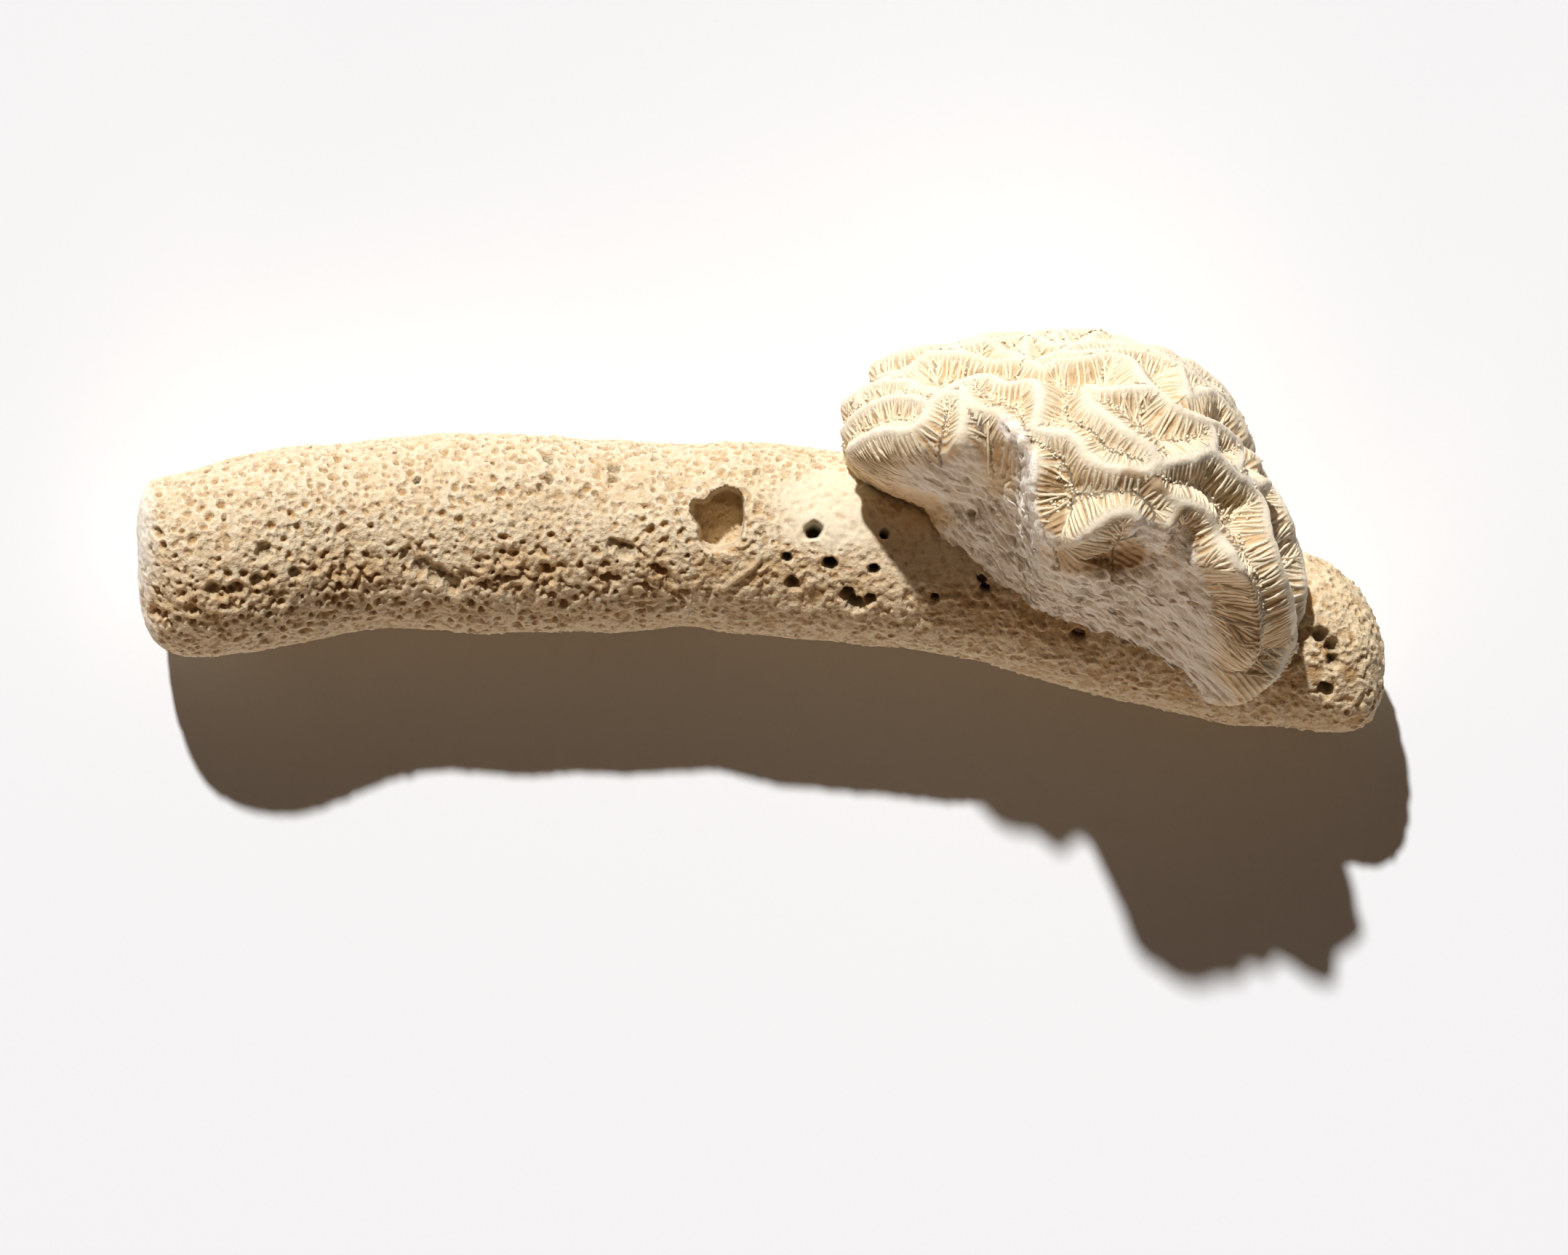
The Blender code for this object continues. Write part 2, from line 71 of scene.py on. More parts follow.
# Branch: its sections from the broken end to the root end, as (x, y, z, half width, half height)
BRANCH_SECTIONS = (
    (-80, -4.6, 16.2, 11.2, 10.8),
    (-75, -4.2, 15.6, 11.6, 11.2),
    (-65, -2.8, 14.2, 12.7, 12.3),
    (-50, -0.6, 12.1, 12.0, 12.4),
    (-35, -0.4, 12.0, 12.8, 12.6),
    (-20, -0.5, 12.3, 12.2, 12.3),
    (-10, -0.5, 12.8, 11.6, 12.0),
    (0, -1.1, 13.0, 12.3, 12.4),
    (15, -2.5, 12.9, 12.2, 12.4),
    (30, -5.2, 12.5, 12.0, 12.3),
    (45, -9.4, 12.0, 12.0, 12.0),
    (60, -12.9, 11.4, 11.6, 11.7),
    (70, -14.3, 11.6, 11.2, 11.0),
    (80, -18.0, 12.2, 10.8, 11.0),
)
BROKEN_END_X, BROKEN_END_CUT = -79.4, 0.7 * math.pi
BROKEN_END_LENGTHS, BROKEN_END_SQUARENESS = (3.0, 9.0), (3.5, -1.3)
ROOT_END_X, ROOT_END_LENGTH, ROOT_END_SQUARENESS = 79.7, 11.5, 2.4
BROKEN_END_SHARE, ROOT_END_SHARE = 0.08, 0.90
BRANCH_LUMPS = ((15.0, 0.55), (6.0, 0.3))
BRANCH_RINGS, BRANCH_SIDES, BRANCH_JOINT = 425, 228, 0.435
TOP_DENSITY = 0.4
BRANCH_TOP = 24.0

# Bored holes and other hollows in the branch, seen from above, as (x, y, radius, depth, darkness of the shade
# painted in them)
BORES = (
    (6.6, 0.1, 1.15, 3.2, 1.0),
    (8.7, -4.2, 0.95, 3.0, 1.0),
    (3.2, -3.4, 0.7, 2.2, 0.8),
    (3.9, -6.8, 1.05, 1.6, 0.5),
    (15.6, -0.4, 0.65, 2.4, 1.0),
    (14.3, -4.9, 0.75, 2.6, 1.0),
    (11.0, -8.2, 1.1, 2.2, 0.7),
    (12.0, -9.3, 1.2, 2.2, 0.7),
    (13.8, -8.7, 0.9, 1.8, 0.6),
    (22.1, -8.6, 0.55, 2.0, 1.0),
    (28.1, -6.2, 0.7, 3.0, 1.0),
    (28.5, -7.4, 0.75, 3.0, 1.0),
    (40.4, -13.3, 0.85, 3.0, 1.0),
    (-44.0, 6.6, 0.5, 1.6, 0.8),
    (-27.3, 9.1, 0.75, 1.6, 0.4),
    (-27.1, 6.6, 0.6, 1.6, 0.4),
    (-28.3, 5.6, 0.5, 1.3, 0.3),
    (-18.8, 8.4, 0.9, 1.7, 0.3),
    (-18.9, 7.0, 0.8, 1.5, 0.3),
    (-17.5, 5.5, 0.5, 1.3, 0.3),
    (-0.6, 7.7, 0.6, 1.2, 0.2),
    (7.5, 8.4, 0.7, 0.9, 0.1),
    (-17.5, -2.5, 1.4, 1.1, 0.25),
    (-18.9, -1.7, 0.9, 1.0, 0.2),
    (-59.5, -5.5, 0.9, 1.1, 0.3),
    (-45.2, -3.4, 1.2, 0.8, 0.12),
    (-43.4, -4.6, 1.5, 1.0, 0.2),
    (-41.4, -5.6, 1.6, 1.1, 0.25),
    (-39.6, -6.8, 1.5, 1.1, 0.25),
    (-38.0, -5.8, 1.1, 0.8, 0.12),
    (-64.4, -6.4, 1.0, 1.0, 0.25),
    (-67.0, -7.4, 1.2, 0.9, 0.2),
    (-63.5, -2.6, 1.2, 1.0, 0.2),
    (-70.0, -7.6, 1.2, 1.1, 0.2),
    (71.5, -13.2, 1.2, 2.4, 0.6),
    (73.0, -14.6, 1.3, 2.6, 0.6),
    (73.2, -16.6, 1.3, 2.6, 0.7),
    (72.0, -20.5, 1.2, 2.2, 0.6),
    (75.5, -11.5, 0.9, 1.6, 0.4),
    (77.8, -15.5, 0.9, 1.7, 0.4),
    (76.8, -21.2, 1.2, 2.0, 0.5),
    (75.6, -17.6, 0.8, 1.8, 0.5),
    (74.6, -22.6, 0.9, 1.6, 0.4),
)
STAR_PIT = (
    (-4.5, 5.7), (-2.6, 4.9), (-2.2, 3.0), (-2.1, 1), (-2.6, -1), (-4, -2.3), (-6.3, -2.8), (-8, -1.4),
    (-8.2, 0.6), (-9.1, 2.4), (-8.7, 3.9), (-7.2, 4.0), (-6.3, 4.9),
)
STAR_PIT_FLOOR, STAR_PIT_WALL = 18.6, 0.4
TUBE = ((-4.9, -7.3), (-3.6, -6.3), (-2.0, -5.2), (-0.8, -4.2), (-0.2, -2.9), (-0.9, -2.2))
TUBE_RADIUS, TUBE_RISE = 0.75, 0.65
CRACK = ((1.3, 4.4), (1.9, 3.0), (2.3, 2.2), (2.9, 1.2), (3.9, 0.3), (4.3, -0.9), (5.2, -2.2), (6.6, -3.0))
CRACK_EDGE, CRACK_DEPTH = (0.1, 0.35), 0.7
STAR_PIT_CENTRE, STAR_PIT_REACH, STAR_PIT_LOWEST = (-5.5, 1.5), 7, 18
STAR_PIT_SLOPE, STAR_PIT_SLOPE_FROM_TO = 1.5, (-3.2, -0.5)
BORE_EDGE, BORE_REACH, BORE_WOBBLES = (0.55, 1.15), 1.6, (0.06, 0.05)

# Pores of the branch: the places tried for them, and the nets of larger ones, as (spacing, radius, seed, rim)
PORE_TRIES, PORE_SEED, PORES_ALONG = 62000, 3, (0.02, 0.99)
PORE_EDGE, PORE_RIM, PORE_RIM_WIDTH = (0.3, 1.05), 1.45, 0.38
BIG_PORES, SPONGY_PORES, CAVERNS = (3.1, 1.05, 2, 0.35), (2.3, 0.8, 6, 0.5), (3.0, 1.25, 3, 0.4)
BIG_PORE_DEPTH, SPONGY_DEPTH, CAVERN_DEPTH = 1.1, 0.8, 1.2

# The least height, below the plain branch, of any hollow but a bore in the half that carries the tube
TUBE_HALF_FLOOR = -0.2

# The branch's noises, as (size, seed)
RAGGED, COARSE, FINE, GRAIN, WORMS = (2.4, 11), (4.5, 12), (0.75, 13), (1.15, 15), (1.5, 14)

# Smooth places on top of the branch, as (centre, radii, softness of the edge)
PLASTER = ((8.2, 2.6), (6.3, 4.9), 0.25)
SMOOTH_PATCH = ((20.5, -2.5), (9.5, 5.6), 0.25)
PIT_BORDER = ((-5.4, 1.2), (5.2, 5.8), 0.16)

# Where each kind of the branch's surface starts and is full, up or along the branch
TOP_FROM_TO, KNOB_FROM_TO, SPONGY_FROM_TO = (14, 20), (64, 71), (24, 36)
CLEAN_END_FROM_TO = (-78.5, -76.0)
BAND_SIDE, BAND_WIDTH, BAND_FROM_TO = 5.2, 3.4, (8, 14)
LOW_SIDE_FROM_TO, LOW_SIDE_FADE = (8, 15), (12, 28)

# Colony: the lobes that make up its outer form at crest level, as (centre, radii, turn in degrees)
COLONY_HEART = (38.0, 5.0, 24.0)
LOBES = (
    ((43.5, 4.5, 29.0), (19.5, 19.0, 27.5), -22.0),
    ((26.5, 10.8, 31.5), (16.0, 10.2, 18.0), 12.0),
    ((24.5, 12.0, 22.0), (18.3, 12.4, 14.0), 8.0),
    ((55.8, -6.2, 24.5), (13.2, 16.4, 27.0), 10.0),
    ((41.0, 12.0, 15.5), (21.5, 13.8, 16.5), -6.0),
    ((38.0, -3.0, 21.0), (21.0, 18.0, 18.0), -15.0),
)
LOBE_BLEND = 5.0
SCOOPS = (
    ((52.7, -18.3, 51.4), (14.0, 14.0, 14.0), 0.0),
    ((44.6, -5.6, 45.0), (5.4, 4.0, 4.6), 14.0),
)
SCOOP_BLEND = 1.6

# The steep broken front of the colony, as (x, y at the height of the branch's top, lean back per height)
FRONT = (
    (6.0, 8.5, 0.10),
    (12.0, 6.2, 0.15),
    (16.0, 4.0, 0.22),
    (22.0, -0.6, 0.40),
    (28.0, -5.0, 0.62),
    (31.8, -7.8, 0.62),
    (34.6, -9.8, 0.32),
    (38.0, -11.0, 0.31),
    (44.0, -12.8, 0.39),
    (48.0, -14.2, 0.50),
    (52.0, -15.8, 0.50),
    (56.0, -18.6, 0.50),
    (59.0, -22.0, 0.55),
    (62.0, -26.0, 0.50),
    (72.0, -32.0, 0.42),
)
FOOT_SLOPE = 0.57
EDGE_BLEND = 1.0
BROKEN_FROM_TO = (15.5, 19.5, 60.0, 63.0)
BROKEN_PLACES = (
    (((31.5, 13.4), (33.2, 11), (33.9, 8), (33.6, 4), (33.9, 1), (34.6, -1.5)), 1.4),
    (((24.5, 6.5), (26.5, 3.5), (29.0, 1.0)), 3.0),
    (((53.2, -1.0), (54.0, -4.0), (55.0, -7.0), (56.0, -10.0)), 1.7),
)
KEPT_FLANKS = (
    (((55.5, 1.0), (58.0, -4.5), (60.2, -9.5), (61.0, -13.5), (60.4, -17.5)), 3.0),
    (((39.5, -3.4), (43.0, -3.2), (47.0, -2.8)), 2.2),
)
# Places where shade is painted, under overhangs and in deep grooves, seen from above, as (path, width)
DEEP_SHADE_PLACES = (
    (((38.8, -4.4), (42.5, -4.4), (46.0, -3.8), (48.5, -3.0)), 2.3),
    (((37.4, 6.2), (37.2, 3.0), (37.4, 0.8)), 1.5),
    (((47.0, 6.6), (49.6, 5.6), (52.0, 6.2)), 1.5),
    (((54.5, -1.0), (54.0, 1.5)), 1.6),
)
FLANK_END = 2.8
FIBRE_WAY, FIBRE_STRETCH = (0.62, -0.62, -0.48), 0.16

# The colony's noises, as (size, seed), and the cavities of its broken front, as (spacing, radius, seed, rim)
FRONT_RAGGED, FIBRES, SKIN, SPONGE, LUMPS = (1.7, 21), (1.1, 22), (0.7, 23), (1.0, 24), (1.6, 25)
CAVITIES = (2.7, 0.95, 4, 0.35)

# Crests of the walls between the valleys, as (x, y) at one height when seen from a point high above
SEEN_FROM = (2.85, -12.3, 1124.0)
SEEN_AT = 12.5
TOP_CRESTS = (
    (
        (10, 9.6), (12, 11.5), (15, 13), (18, 12.9), (20, 14.3), (21.2, 16.5), (23, 17.8), (25.2, 17.7),
        (26.4, 16.4), (28.2, 15.7), (30, 15.3), (31.6, 13.8), (32.6, 12), (34, 10.6), (34.8, 8.8),
        (34.2, 6.6), (33.8, 4.5), (34.2, 2), (34.6, -1),
    ),
    ((25.6, 17), (25.7, 14.5), (25.4, 12)),
    ((9.8, 13), (12, 15.3), (15, 17), (17.5, 17.6), (20, 17), (21.4, 16.6)),
    ((11.8, 16.8), (13, 18.5), (16, 19.5), (18.5, 19.4), (20.5, 18.6), (22.8, 17.9)),
    ((15, 20.2), (18, 21.6), (21, 23.2), (25, 24.2), (29, 24.7), (32, 23.6), (33.6, 22.6)),
    (
        (22.8, 17.9), (24.6, 19.2), (26, 20.2), (28.5, 20.5), (31, 20), (34, 19.7), (35.2, 18.8),
        (35.4, 17), (35, 15), (34.6, 13.2),
    ),
    ((25, 19.4), (26.2, 17.6), (27.2, 16.3), (28.2, 15.7)),
    ((33.6, 22.6), (33.8, 24.6), (35, 25.8), (36.8, 26.2), (38.5, 25.6), (39.6, 24.5)),
    (
        (38.2, 23.4), (40, 24.3), (42.5, 25.6), (44.5, 25.9), (46.8, 25), (49.5, 23.6), (52.5, 22.4),
        (54.3, 20.5), (55, 18.4),
    ),
    (
        (34, 22.4), (36, 22.1), (38.5, 22.3), (41, 22.5), (43.7, 23.1), (46, 22.7), (47.6, 21.8),
        (49, 19.8), (51, 18), (53, 16.2), (55, 15), (57, 14.3), (58.8, 13.8), (60.3, 12.5), (61.7, 11.4),
        (61.9, 9.8), (61.3, 8.2),
    ),
    ((41.2, 18.9), (43, 18.4), (46, 18.6), (49, 18.6), (50.8, 18.1)),
    (
        (41.2, 18.9), (41.3, 17.3), (42.5, 16), (44.5, 14.6), (46.5, 13), (48.5, 11.6), (50, 10.4),
        (50.5, 9.2), (49.8, 8.1), (48, 7.6), (45.5, 7.9), (43, 8.6), (41.2, 9.9), (40.2, 11.5),
        (38.7, 12.6), (36.5, 12.7), (34.6, 13.2),
    ),
    ((57, 14.3), (58.1, 12.8), (58.1, 11.3), (57.6, 10.4), (56, 9.7), (54, 9.2), (52, 8.7), (50.5, 8.4)),
    (
        (57.6, 10.4), (58.8, 9.6), (60.2, 8.1), (61.5, 7), (63, 5.9), (64.3, 4.5), (64.9, 2.5),
        (65.3, 0), (66.2, -2.5), (67, -5), (67.8, -7.5), (68.3, -9.8), (69, -12.5), (68.6, -15.5),
        (67, -18.3), (65, -20.2),
    ),
    ((61.5, 7), (63.5, 6.9), (65.3, 6.4)),
    (
        (50.6, 6), (51.8, 4.8), (53.5, 3.6), (55.5, 3.2), (57.2, 2.3), (58.4, 0.6), (59.5, -1.5),
        (60.6, -3.5), (61.7, -5.5), (62.6, -7.6), (63.1, -9.6), (63.7, -11.5), (63.8, -13.5),
        (63.4, -16), (62.4, -18.5), (61, -20.6),
    ),
    ((54, 3.3), (52.6, 1.2), (51.3, -0.8), (50.2, -2.8)),
    (
        (36.2, -0.8), (37, -2.2), (38.5, -2.7), (40.2, -1.8), (42, -0.1), (44, 1.4), (46, 2.2),
        (47.6, 1.9), (48.6, 0.6),
    ),
    ((55.2, 18.2), (57, 18.5), (58.8, 17.9), (60.3, 16.5), (61.5, 15), (62.5, 13.3), (63.2, 11.5), (64, 9.4)),
)

# Crests on the back of the colony, seen from behind, as (x, z), and on its far end, as (y, z)
BACK_CRESTS = (
    ((10, 28), (15, 31), (21, 29), (26, 32), (31, 36), (36, 34), (41, 37), (47, 35), (53, 34), (60, 30)),
    ((14, 22), (19, 24), (24, 22.5), (29, 26), (34, 25), (38, 29), (43, 27), (49, 28), (55, 25), (62, 22)),
    ((26, 32), (24, 27), (24, 22.5), (22, 17), (25, 12)),
    ((22, 17), (28, 19), (33, 16.5), (38, 20), (43, 18), (48, 20.5), (54, 17.5), (60, 15), (64, 10)),
    ((38, 29), (37, 24), (38, 20), (36, 14), (39, 9)),
    ((25, 12), (30, 9.5), (34, 11.5), (39, 9), (44, 12), (49, 10), (54, 12), (59, 8)),
    ((53, 34), (52, 30), (49, 28)),
    ((54, 17.5), (53, 14.5), (54, 12)),
    ((27, 5), (32, 3.5), (38, 4), (44, 5.5), (50, 3.5), (55, 5)),
)
END_CRESTS = (
    ((10, 30), (6, 26), (2, 28), (-3, 25), (-8, 26), (-12, 21)),
    ((12, 21), (8, 18), (4, 20.5), (0, 17), (-5, 19), (-9, 16)),
    ((14, 12), (9, 10.5), (5, 12.5), (2, 9)),
)
WALL_TOP, WALL_BASE = -0.4, 4.6
SMOOTH_FOOT = (2.0, 9.0)
SMOOTH_FRONT, SMOOTH_FRONT_HEIGHT = (-15.0, -11.0), (24.0, 32.0)
CREST_STEP = 0.25
CREST_WAVE, CREST_SINK = 5.5, 1.0
VALLEY_FILL = 9
FILL_EASE = 0.15
COLONY_CUTS = 127
LOOK_SHARE, LOOK_STEPS = 0.06, 240
FAR_SIDE, REACH, HALVINGS = 90.0, 60.0, 24
NEIGHBOURS = [(a, b, c) for a in (-1, 0, 1) for b in (-1, 0, 1) for c in (-1, 0, 1)]
BOX_MARGIN = 0.02

# Septa: the thin plates that run down both sides of each crest
SEPTUM_START, SEPTUM_STEP, SEPTUM_REACH = 0.75, 0.4, 14.0
SEPTUM_PROFILE = ((0, -1), (-0.5, 0), (-0.3, 0.75), (0, 1), (0.3, 0.75), (0.5, 0), (0, -1))
RIDGE_STEPS, RIDGE_ROOT, SHARPEST_TURN = 8, 0.06, 0.3

# Spines on the valley floors, and loose strands on the broken front
SPINES, SPINE_SIDES, SPINE_WIDTHS, SPINE_HEIGHTS = 5000, 5, (0.18, 0.34), (0.2, 0.55)
STRANDS, STRAND_STEP = 600, 0.55
STRAND_PROFILE = ((0, -1), (-0.5, 0.2), (0, 1), (0.5, 0.2), (0, -1))

# Colours that the finishes lay over their ground, apart from those in the panel
WORN_PATCH, WORN_SPECK, WORN_GRIT = (0.79, 0.69, 0.51), (0.70, 0.48, 0.24), (0.62, 0.40, 0.19)
# The first colour here is ochre shade painted where the branch's fine relief sinks
LOW_PLACE_SHADE, KNOB_BROWN, RAISED_RIM = (0.50, 0.32, 0.15), (0.70, 0.54, 0.33), (0.80, 0.71, 0.54)
# The first colour here makes the broken end's face paler, partly for its own smoother surface and partly as
# painted light
# The last colour here is near-black shade painted inside the bored holes
PALE_END_AND_LIGHT, PIT_FLOOR, HOLE_SHADE_COLOUR = (0.88, 0.81, 0.70), (0.62, 0.47, 0.28), (0.06, 0.04, 0.025)
# The second colour here is shade painted under overhangs and in deep grooves
COLONY_PATCH, DEEP_GROOVE_SHADE = (0.74, 0.60, 0.38), (0.42, 0.26, 0.12)
FRONT_SPECK, FRONT_SHADE, FRONT_CAVITY = (0.86, 0.80, 0.71), (0.62, 0.52, 0.39), (0.40, 0.28, 0.15)
SPINE_PALE, STRAND_PALE, STRAND_DARK = (0.88, 0.77, 0.58), (0.88, 0.81, 0.71), (0.70, 0.58, 0.44)

# Shine of every finish, and how light spreads inside the branch and the colony
SPECULAR, GLOW = 0.25, 0.6
GLOW_RADIUS, GLOW_SCALE = (1.0, 0.8, 0.62), 0.6 * MM

# Lights, as (name, its strength in the panel, direction, spread in degrees, colour)
LIGHTS = (
    ("high_light", "key_strength", (0.28, -1.06, -1.0), 2.2, (1.0, 0.995, 0.99)),
    ("wide_light", "wide_strength", (0.28, -1.06, -1.0), 110.0, (1.0, 0.72, 0.52)),
    ("low_light", "fill_strength", (0.25, 1.0, -0.02), 22.0, (1.0, 0.72, 0.49)),
)
SKY_COLOUR = (1.0, 0.64, 0.42, 1.0)
FLOOR_SIZE, SENSOR_WIDTH = 2.5, 36.0


def length_prop(name, description, millimetres):
    return FloatProperty(
        name=name, description=description, default=millimetres * MM, unit="LENGTH", precision=5
    )


def colour_prop(name, description, default):
    return FloatVectorProperty(name=name, description=description, default=default, subtype="COLOR")


def strength_prop(name, description, default):
    return FloatProperty(name=name, description=description, default=default, min=0)


class CoralBranchLooks(bpy.types.PropertyGroup):
    """Sizes and colours of the worn branch."""

    pore_width: length_prop("Pore Width", "Width of one pore", 1.25)
    pore_spacing: length_prop("Pore Spacing", "Least distance between two pores", 1.6)
    pore_depth: length_prop("Pore Depth", "Depth of one pore", 0.62)
    worn_colour: colour_prop("Worn Surface", "Colour of the worn surface", (0.78, 0.65, 0.46))
    pale_colour: colour_prop("Pale Patches", "Colour of the smooth pale patches", (0.79, 0.70, 0.53))
    pore_colour: colour_prop("Pores", "Colour inside the pores", (0.50, 0.30, 0.12))


class CoralColonyLooks(bpy.types.PropertyGroup):
    """Sizes and colours of the ridged colony."""

    wall_depth: length_prop("Valley Depth", "Depth of the valleys below the crests", 4.1)
    septum_spacing: length_prop("Septum Spacing", "Distance between neighbouring septa", 0.78)
    septum_height: length_prop("Septum Height", "How far a septum stands off the wall", 0.28)
    septum_thickness: length_prop("Septum Thickness", "Thickness of one septum", 0.5)
    crest_colour: colour_prop("Crests", "Colour of the rounded crests", (0.81, 0.72, 0.57))
    septum_colour: colour_prop("Septa", "Colour of the septa's edges", (0.87, 0.75, 0.545))
    # Between the septa this colour is painted shade, in warm gold; on the valley floors and on the septa and
    # spines it darkens specks of their own tone
    gap_colour: colour_prop("Gaps", "Colour between the septa", (0.75, 0.51, 0.27))
    valley_colour: colour_prop("Valleys", "Colour of the valley floors", (0.78, 0.65, 0.45))
    broken_colour: colour_prop("Broken Front", "Colour of the broken front", (0.86, 0.79, 0.69))


class CoralStageLooks(bpy.types.PropertyGroup):
    """The floor, the lights and the camera."""

    floor_colour: colour_prop("Floor", "Colour of the floor", (0.90, 0.915, 0.935))
    key_strength: strength_prop("Key Light", "Strength of the high light", 4.35)
    fill_strength: strength_prop("Fill Light", "Strength of the low front light", 1.25)
    wide_strength: strength_prop("Wide Light", "Strength of the soft high light", 0.16)
    sky_strength: strength_prop("Sky", "Strength of the light from all round", 0.026)
    lens: FloatProperty(name="Lens", description="Focal length", default=200.0, subtype="DISTANCE_CAMERA")


class Number:
    """A shader value that Python's own operators work on."""

    def __init__(self, finish, socket):
        self.finish, self.socket = finish, socket

    def worked(self, operation, other=None, swapped=False):
        values = [self] if other is None else [other, self] if swapped else [self, other]
        node = self.finish.node("ShaderNodeMath", {"operation": operation}, dict(enumerate(values)))
        return Number(self.finish, node.outputs[0])

    def __add__(self, other):
        return self.worked("ADD", other)

    def __sub__(self, other):
        return self.worked("SUBTRACT", other)

    def __rsub__(self, other):
        return self.worked("SUBTRACT", other, swapped=True)

    def __mul__(self, other):
        return self.worked("MULTIPLY", other)

    __radd__ = __add__
    __rmul__ = __mul__

    def most(self, other):
        return self.worked("MAXIMUM", other)

    def waves(self):
        """0 to 1 and back, once for each whole number."""
        return (self * math.tau).worked("COSINE") * 0.5 + 0.5

    def between(self, low, high):
        """A smooth 0 to 1 as the value goes from low to high."""
        sockets = {0: self, 1: low, 2: high, 3: 0.0, 4: 1.0}
        node = self.finish.node("ShaderNodeMapRange", {"interpolation_type": "SMOOTHSTEP"}, sockets)
        return Number(self.finish, node.outputs[0])


class Finish:
    """A node material that is built up by method calls."""

    def __init__(self, name, roughness, glow=0.0):
        self.material = bpy.data.materials.new(name)
        self.material.use_nodes = True
        self.tree = self.material.node_tree
        self.shader = self.tree.nodes["Principled BSDF"]
        settings = {
            "Roughness": roughness,
            "Specular IOR Level": SPECULAR,
            "Subsurface Weight": glow,
            "Subsurface Radius": GLOW_RADIUS,
            "Subsurface Scale": GLOW_SCALE,
        }
        for socket, value in settings.items():
            self.shader.inputs[socket].default_value = value

    def node(self, kind, settings=None, sockets=None):
        node = self.tree.nodes.new(kind)
        for key, value in (settings or {}).items():
            setattr(node, key, value)
        for key, value in (sockets or {}).items():
            self.feed(node.inputs[key], value)
        return node

    def feed(self, socket, value):
        if isinstance(value, Number):
            value = value.socket
        if isinstance(value, bpy.types.NodeSocket):
            self.tree.links.new(value, socket)
        elif socket.type == "RGBA" and len(value) == 3:
            socket.default_value = (*value, 1.0)
        else:
            socket.default_value = value

    def place(self):
        """The point on the object, in metres."""
        return self.node("ShaderNodeTexCoord").outputs["Object"]

    def fibre_place(self):
        """The point on the object, squeezed along the fibres so that a pattern there is long and thin."""
        place = self.place()
        along = self.node("ShaderNodeVectorMath", {"operation": "DOT_PRODUCT"}, {0: place, 1: FIBRE_WAY})
        pull = Number(self, along.outputs["Value"]) * (FIBRE_STRETCH - 1)
        shift = self.node("ShaderNodeVectorMath", {"operation": "SCALE"}, {0: FIBRE_WAY, 3: pull})
        moved = self.node("ShaderNodeVectorMath", {"operation": "ADD"}, {0: place, 1: shift.outputs[0]})
        return moved.outputs[0]

    def attribute(self, name):
        return Number(self, self.node("ShaderNodeAttribute", {"attribute_name": name}).outputs["Fac"])

    def attributes(self, *names):
        return [self.attribute(name) for name in names]

    def grain(self, size, detail=2.0, roughness=0.6, where=None):
        """Noise from about 0 to 1 with lumps of that size in millimetres."""
        scale = 1.0 / (size * MM)
        sockets = {"Vector": where or self.place(), "Scale": scale, "Detail": detail, "Roughness": roughness}
        return Number(self, self.node("ShaderNodeTexNoise", None, sockets).outputs["Fac"])

    def pits(self, size):
        """Distance to the nearest point of an uneven net of that size in millimetres, from 0 to about 1."""
        sockets = {"Vector": self.place(), "Scale": 1.0 / (size * MM)}
        return Number(self, self.node("ShaderNodeTexVoronoi", {"feature": "F1"}, sockets).outputs["Distance"])

    def mix(self, share, low, high):
        return self.node("ShaderNodeMix", {"data_type": "RGBA"}, {0: share, 6: low, 7: high}).outputs[2]

    def layered(self, ground, *layers):
        """The ground with colours laid over it in turn, each as (share, colour)."""
        for share, colour in layers:
            ground = self.mix(share, ground, colour)
        return ground

    def colour(self, value):
        self.feed(self.shader.inputs["Base Color"], value)

    def bumps(self, *layers):
        """Feeds the normal with height layers, each as (height, distance in metres)."""
        normal = None
        for height, distance in layers:
            sockets = {"Height": height, "Distance": distance, "Strength": 1.0}
            if normal is not None:
                sockets["Normal"] = normal
            normal = self.node("ShaderNodeBump", None, sockets).outputs["Normal"]
        self.feed(self.shader.inputs["Normal"], normal)


# Shared geometry
def smooth_step(low, high, value):
    share = np.clip((value - low) / (high - low), 0.0, 1.0)
    return share * share * (3 - 2 * share)


def unit(vectors):
    return vectors / np.linalg.norm(vectors, axis=1)[:, None]


def rounded_path(points, step):
    """Points every step or so along a Catmull-Rom curve through the given ones."""
    points = [Vector(p) for p in points]
    ends = [2 * points[0] - points[1], *points, 2 * points[-1] - points[-2]]
    path = []
    for before, start, end, after in zip(ends, ends[1:], ends[2:], ends[3:]):
        count = max(1, round((end - start).length / step))
        for i in range(count):
            t = i / count
            path.append(
                0.5
                * (
                    2 * start
                    + (end - before) * t
                    + (2 * before - 5 * start + 4 * end - after) * t**2
                    + (3 * start - before - 3 * end + after) * t**3
                )
            )
    path.append(points[-1])
    return np.array(path)


def noise_at(points, size, seed):
    """Smooth noise between about -1 and 1, with lumps of about the given size."""
    shift = Vector((seed * 17.3, seed * 5.1, seed * 9.7))
    return np.array([noise.noise(Vector(p) / size + shift) for p in points])


def scatter(cells, seed):
    """Four even random numbers for each whole-number cell."""
    mixed = (cells[:, 0] * 73856093) ^ (cells[:, 1] * 19349663) ^ (cells[:, 2] * 83492791)
    mixed ^= seed * 2654435761
    numbers = []
    for _ in range(4):
        mixed = (mixed ^ (mixed >> 15)) * 2246822519 & 0xFFFFFFFF
        mixed = (mixed ^ (mixed >> 13)) * 3266489917 & 0xFFFFFFFF
        numbers.append(((mixed >> 8) & 0xFFFF) / 65536.0)
    return np.stack(numbers, axis=1)


